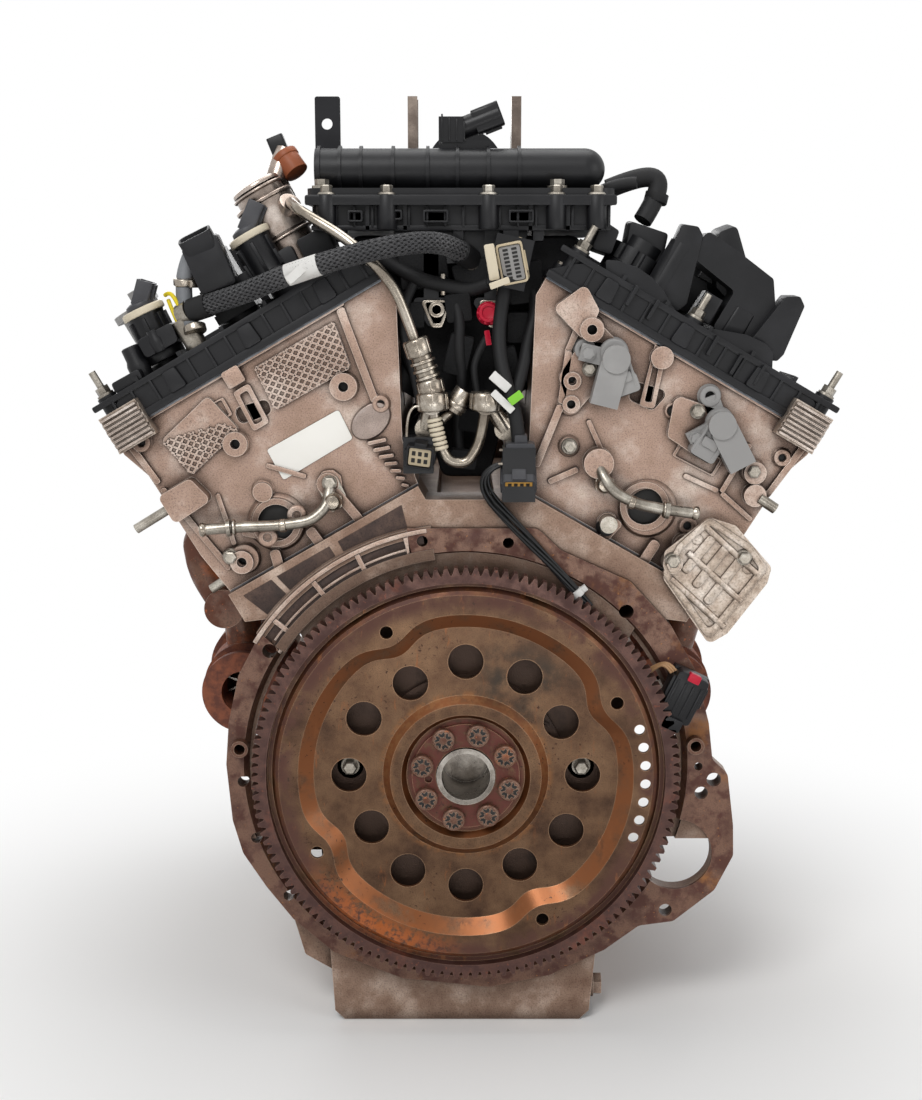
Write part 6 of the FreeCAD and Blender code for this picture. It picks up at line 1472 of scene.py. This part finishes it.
def left_cover():
    """Solenoids, towers, socket, yellow tie and tube at the rear of the left cam cover."""
    solenoid("cam_solenoid_outboard", (-247, 340), (-262, 372), (-256, 392), 44)
    solenoid("cam_solenoid_inboard", (-158, 404), (-174, 432), (-164, 455), 48)
    shape = Shape(NYLON)
    wall(shape, [(-227.5, 424.6), (-198, 438), (-181, 397), (-211, 387)], 16, 30, 4, 1.5)
    socket = seat((-212, 22, 428), (-0.45, -0.35, 0.9), (1, 0, 0.4))
    shape.cup(rectangle(14, 8), rectangle(12, 6), -6, 9, socket, 5, 1)
    wall(shape, [(-266, 352), (-236, 368), (-230, 352), (-258, 337)], 20, 60, 4, 1)
    wall(shape, [(-206, 392), (-158, 420), (-140, 430), (-132, 412), (-196, 376)], 40, 80, 5, 2)
    wall(shape, [(-140, 432), (-112, 446), (-104, 424), (-130, 412)], 44, 84, 4, 2)
    wall(shape, [(-286, 318), (-262, 331), (-258, 322), (-282, 309)], 12, 26, 3, 1)
    for k in range(6):
        shape.box((-1.3, 0, 0), (1.3, 13, 3), seat((-208 + 12 * k, 38, 379 + 6.9 * k), turn=30), 0.4)
    shape.lathe([(9, 0), (9, 12), (7.6, 16), (7.6, 26), (6, 27)], seat((-262, 30, 322), (-0.4, 0, 0.92)), 28)
    shape.lathe([(6, 0), (6, 10), (4.6, 12), (4.6, 18)], seat((-246, 24, 344), (-0.4, -0.1, 0.92)), 24)
    shape.finish("cover_left_towers", bevel=0.8)
    pins = Shape(NICKEL)
    for k in range(6):
        pins.box((-9.4 + 3.6 * k, -0.8, 1), (-8.2 + 3.6 * k, 0.8, 6), socket, 0.2)
    pins.finish("module_pins")
    cord = Shape(YELLOW)
    cord.tube([(-243, 34, 388), (-238, 26, 391), (-232, 22, 384), (-226, 22, 370), (-222, 24, 356),
               (-224, 28, 352), (-229, 28, 362), (-236, 30, 378)], 1.7, 12)
    cord.tube([(-241, 36, 384), (-236, 28, 374), (-228, 24, 358), (-219, 22, 351)], 1.7, 12)
    cord.finish("cover_left_yellow_tie", soft=60)
    tube = route_curve("cover_left_corrugated_tube", [(-222, 34, 418), (-226, 32, 408), (-227, 28, 392),
                                                      (-225, 24, 376),
                                                     (-221, 22, 364)])
    grow("cover_left_corrugated_tube", tube, "ridges", GREY_TUBE, soft=60, radius=6.6 * MM,
         ridge_pitch=3.4 * MM, ridge_depth=0.11)
    clamp = Shape(NICKEL)
    clamp.lathe([(7.6, 0), (8.4, 0.6), (8.4, 5.4), (7.6, 6)], seat((-226.6, 29, 396), (0, -0.2, 1)), 30)
    clamp.box((-4, -3, 0), (4, 3, 5), seat((-219, 24, 397), (0.6, -0.7, 0)), 1)
    clamp.lathe([(8.4, 0), (9.2, 0.6), (9.2, 5.4), (8.4, 6)], seat((-218, 20, 364), (0.3, -0.4, -1)), 30)
    clamp.finish("cover_left_hose_clamps", bevel=0.3)


def pump_trim():
    """Turned rings, flange plate, bolts and solenoid of the high-pressure fuel pump."""
    at = bank_top(LEFT, -88, 70, 0)
    shape = Shape(MILLED)
    for n, radius, high in ((422, 26, 5), (449, 25.6, 3), (482, 25.5, 4), (492, 22.5, 3)):
        shape.lathe([(radius - 1.5, n), (radius, n + 0.8), (radius, n + high - 0.8),
                     (radius - 1.5, n + high)], at, 48)
    shape.lathe([(21, 496), (20.4, 499), (17, 500.5), (12, 499.8), (0.1, 499.8)], at, 48)
    plate = seat((-153, 92, 476), (0.3, -1, 0.1), None, -64)
    shape.box((-13, -6, 0), (13, 6, 4), plate, 3)
    shape.finish("fuel_pump_rings", bevel=0.5)
    plate_out = plate.to_3x3() @ Vector((0, 0, 1))
    rows = [(plate @ Vector((s * 9, 0, 4)), plate_out) for s in (-1, 1)]
    rows += [(at @ Vector((s * 29, 0, 424)), bank(LEFT, 0, 0, 1)) for s in (-1, 1)]
    bolts("fuel_pump_bolts", rows, ZINC, 8, 4, 6, 1.4)
    coil = Shape(PHENOLIC)
    coil.rod((-151, 90, 502), (-140, 84, 487), 10.5, 32)
    coil.lathe([(11.4, 0), (11.4, 5), (10, 6)], seat((-151, 90, 502), (11, -6, -15)), 32)
    coil.use(PBT_BLACK).box((-7, -6, 0), (7, 6, 16), seat((-153, 92, 502), (-0.4, 0, 1)), 2)
    coil.finish("fuel_pump_solenoid", bevel=0.5)


def intake_trim():
    """Ribs, bolt towers, slots and clips on the rear of the intake."""
    shape = Shape(NYLON)
    shape.box((-128, 458.5, -24.5), (120, 466.5, -21), UPRIGHT, 2, 0.8)
    shape.box((-124, 439, -33), (117, 443, -28), UPRIGHT, 1.5, 0.8)
    for k in range(17):
        x = -118 + 14.5 * k
        shape.box((x - 1.1, 441, -33), (x + 1.1, 459, -27.5), UPRIGHT, 0.5, 0.5)
    for x in (-111, -63, 18, 72, 104):
        shape.lathe([(8, 440), (8, 466), (7.4, 467)], Matrix.Translation((x, 27, 0)), 28)
    for x, z, wide, tall in ((-57, 451, 13, 8), (-24, 450, 20, 10), (44, 450, 20, 10), (-88, 450, 12, 9)):
        w, t = wide / 2, tall / 2
        shape.cup(rectangle(w, t, x, z), rectangle(w - 1.5, t - 1.5, x, z), -33, -23, UPRIGHT, 1.5, -32)
    for x in (-100, -40, -6, 58):
        shape.box((x - 5, 430, -40), (x + 5, 441, -30), UPRIGHT, 2, 1)
    wall(shape, [(-60, 440), (-52, 418), (-20, 412), (8, 414), (44, 420), (52, 440)], 36, 44, 4, 1)
    shape.finish("intake_trim", bevel=0.5)
    rows = [((x, 27, 467), (0, 0, 1)) for x in (-111, -63, 18, 72, 104)]
    bolts("intake_bolts", rows, ZINC, 9, 5, 7.5, 1.6)
    collar = Shape(PBT_BLACK)
    at = seat((20, 70, 530.5), (31, 0, 12), (0, -1, 0))
    collar.cup(rectangle(8, 10), rectangle(6.2, 8.2), -14, 9, at, 3, 1)
    collar.box((-3, 9, -8), (3, 12, 6), at, 0.8)
    for k in range(4):
        collar.box((-20 + 6 * k, 59, 511), (-18.6 + 6 * k, 85, 532 - 2 * k), Matrix(), 0.4)
    collar.finish("map_sensor_collar", bevel=0.4)


for side in (LEFT, RIGHT):
    cover_trim(side)
right_cover()
left_cover()
pump_trim()
intake_trim()


# Block flange, crank sensor plug, fasteners of the other sides, bolt heads and what the windows show
PAN_BOLT_X = 129.0
RIGHT_BORE_Y = 109.0
BORE_PITCH = 106.0
RUNNER_R = 15.0
DECK_EDGE_N = 218.0
HOLLOW_R = 208.5


def sector(inner, outer, start, end, steps=24):
    """The outline of a ring sector in (x, z)."""
    turns = [math.radians(start + (end - start) * k / steps) for k in range(steps + 1)]
    return ([(outer * math.cos(a), outer * math.sin(a)) for a in turns]
            + [(inner * math.cos(a), inner * math.sin(a)) for a in reversed(turns)])


def deck_hollow(start, end):
    """The outline in (x, z) of a hollow between the flange's outer rib and the left deck's edge, along m."""
    spans = [start + (end - start) * k / 10 for k in range(11)]
    edge = [(-(0.5 * DECK_EDGE_N + 0.866 * m), 0.866 * DECK_EDGE_N - 0.5 * m) for m in (start, end)]
    turns = [math.radians(120) + math.atan2(m, DECK_EDGE_N) for m in reversed(spans)]
    return edge + [(HOLLOW_R * math.cos(a), HOLLOW_R * math.sin(a)) for a in turns]


def block_flange():
    """Ribs and hollows of the block's flange over the flexplate."""
    shape = Shape(CAST)
    for inner, outer, start, end, high in ((181, 184, 99, 147, 3), (202, 205.5, 99, 148, 4),
                                           (190, 192, 101, 145, 1.5)):
        shape.prism(sector(inner, outer, start, end), -1, high, UPRIGHT)
    shape.use(SHADE_CAST).prism(sector(184.5, 189.5, 100, 146), -3, 0.4, UPRIGHT)
    shape.prism(sector(192.5, 201.5, 100, 146), -3, 0.4, UPRIGHT)
    for start, end in ((-66, -6), (2, 52), (57, 84)):
        shape.prism(deck_hollow(start, end), -3, 0.5, UPRIGHT)
    shape.use(CAST)
    for angle in (104, 116, 128, 141):
        at = UPRIGHT @ Matrix.Rotation(math.radians(angle), 4, "Z")
        shape.box((184, -2.2, -1), (202, 2.2, 3), at, 0.8, 0.5)
    for x, z in ((-160, 196), (-136, 214)):
        shape.lathe([(8, -1), (8, 4), (7, 5), (3.6, 5), (3.4, 3)], UPRIGHT @ Matrix.Translation((x, z, 0)),
                    26)
    shape.finish("block_flange_ribs", bevel=0.5)


def crank_sensor():
    """The crank sensor's plug with its red lock, and its three wires."""
    at = seat((177, -17, 68), turn=-25)
    shape = Shape(PBT_BLACK)
    shape.box((-14, -22, 0), (14, 20, 9), at, 4, 1)
    shape.box((-16.5, -6, -2), (16.5, 14, 6), at, 3, 0.8)
    shape.box((-9, -30, 0), (9, -18, 11), at, 3, 1)
    for k in range(4):
        shape.box((-12 + 7 * k, -16, 8), (-9.6 + 7 * k, 12, 10), at, 0.4)
    shape.use(PBT_RED).box((-5, 14, 4), (5, 21, 11), at, 1.2)
    shape.finish("crank_sensor_plug", bevel=0.5)
    for k in range(3):
        wire = Shape(WIRE_TAN)
        wire.tube([(171 - 2 * k, -16, 88 - k), (166 - 2 * k, -13, 94), (158 - 3 * k, -8, 92 - 3 * k),
                   (150 - 2 * k, -4, 86 - 4 * k)], 1.2, 10)
        wire.finish("crank_sensor_wire_%d" % (k + 1), soft=60)


def right_runners():
    """The three exhaust runners from the right head's ports down to its log."""
    shape = Shape(EXHAUST)
    for row in range(3):
        y = RIGHT_BORE_Y + row * BORE_PITCH
        shape.tube([(219, y, 186), (230, y, 178), (226, y, 152), (208, y, 121)], RUNNER_R, 32)
        shape.lathe([(24, 0), (24, 5), (23, 6), (16, 6)], seat((221.9, y, 184.4), (0.866, 0, -0.5)), 40)
    shape.finish("exhaust_runners_right", bevel=0.6)


def other_sides():
    """Bolts of the oil pan and of the front cover."""
    rows = [((side * PAN_BOLT_X, y, -72), (0, 0, -1)) for side in (LEFT, RIGHT) for y in range(40, 390, 42)]
    bolts("pan_bolts", rows, ZINC, 10, 6, 8, 1.8)
    front_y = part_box("front_cover")[1].y / MM
    rows = []
    for side in (LEFT, RIGHT):
        for z in (-44, -4, 36, 76, 114, 150):
            reach = 122 + 20 * min((z + 62) / 102, 1.0) + 38 * min(max((z - 40) / 90, 0.0), 1.0)
            rows.append(((side * (reach - 9), front_y - 1, z), (0, 1, 0)))
    bolts("front_cover_bolts", rows, ZINC, 10, 6, 8, 1.8)


SPLINE_PCD = 74.0
SPLINE_FIRST = 29.5
WINDOW_R = 96.0


def spline_stars():
    """The twelve-point recessed heads of the eight crank bolts, rusted."""
    face = -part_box("spline_bolts")[0].y / MM
    shape = Shape(BOLT_RUST)
    for k in range(8):
        a = math.radians(SPLINE_FIRST + 45 * k)
        at = UPRIGHT @ Matrix.Translation((SPLINE_PCD / 2 * math.cos(a), SPLINE_PCD / 2 * math.sin(a), face))
        star = [p for tip, notch in zip(circle(7.6, 12), circle(5.6, 12, TURN / 24)) for p in (tip, notch)]
        shape.use(BOLT_RUST).lathe([(9.3, -2), (9.3, 0.2), (8.4, 0.9), (8.0, 0.9)], at, 32)
        # A dark star of painted shade in the recess.
        shape.use(HOLE_SHADE).prism(star, 0.2, 1.15, at, 0.3)
        shape.use(BOLT_RUST).prism([(x * 0.56, y * 0.56) for x, y in star], 0.5, 1.5, at, 0.2, 0.4)
        for i in range(6):
            spoke = at @ Matrix.Rotation(math.pi * i / 3 + 0.2, 4, "Z")
            shape.box((3.4, -0.55, 0.5), (7.2, 0.55, 1.5), spoke, 0.2)
    shape.finish("crank_bolt_stars", CRANK, bevel=0.15)


def behind_windows():
    """Retainer bolts and casting lumps that show through the flexplate's windows."""
    rows = [((side * WINDOW_R, 1, 2), REARWARD) for side in (LEFT, RIGHT)]
    bolts("housing_bolts", rows, ZINC, 11, 6, 9, 1.8)
    shape = Shape(BLOCK_CAST)
    for side in (LEFT, RIGHT):
        shape.lathe([(14, -2), (13, 3), (11, 4)], seat((side * WINDOW_R, 4, 2)), 28)
    for k in range(12):
        a = math.radians(30 * k + 15)
        at = UPRIGHT @ Matrix.Rotation(a, 4, "Z")
        shape.box((70, -3, -6), (128, 3, 1 + k % 3), at, 1.5, 1)
    shape.finish("housing_webs", bevel=0.6)


block_flange()
spline_stars()
behind_windows()
crank_sensor()
right_runners()
other_sides()
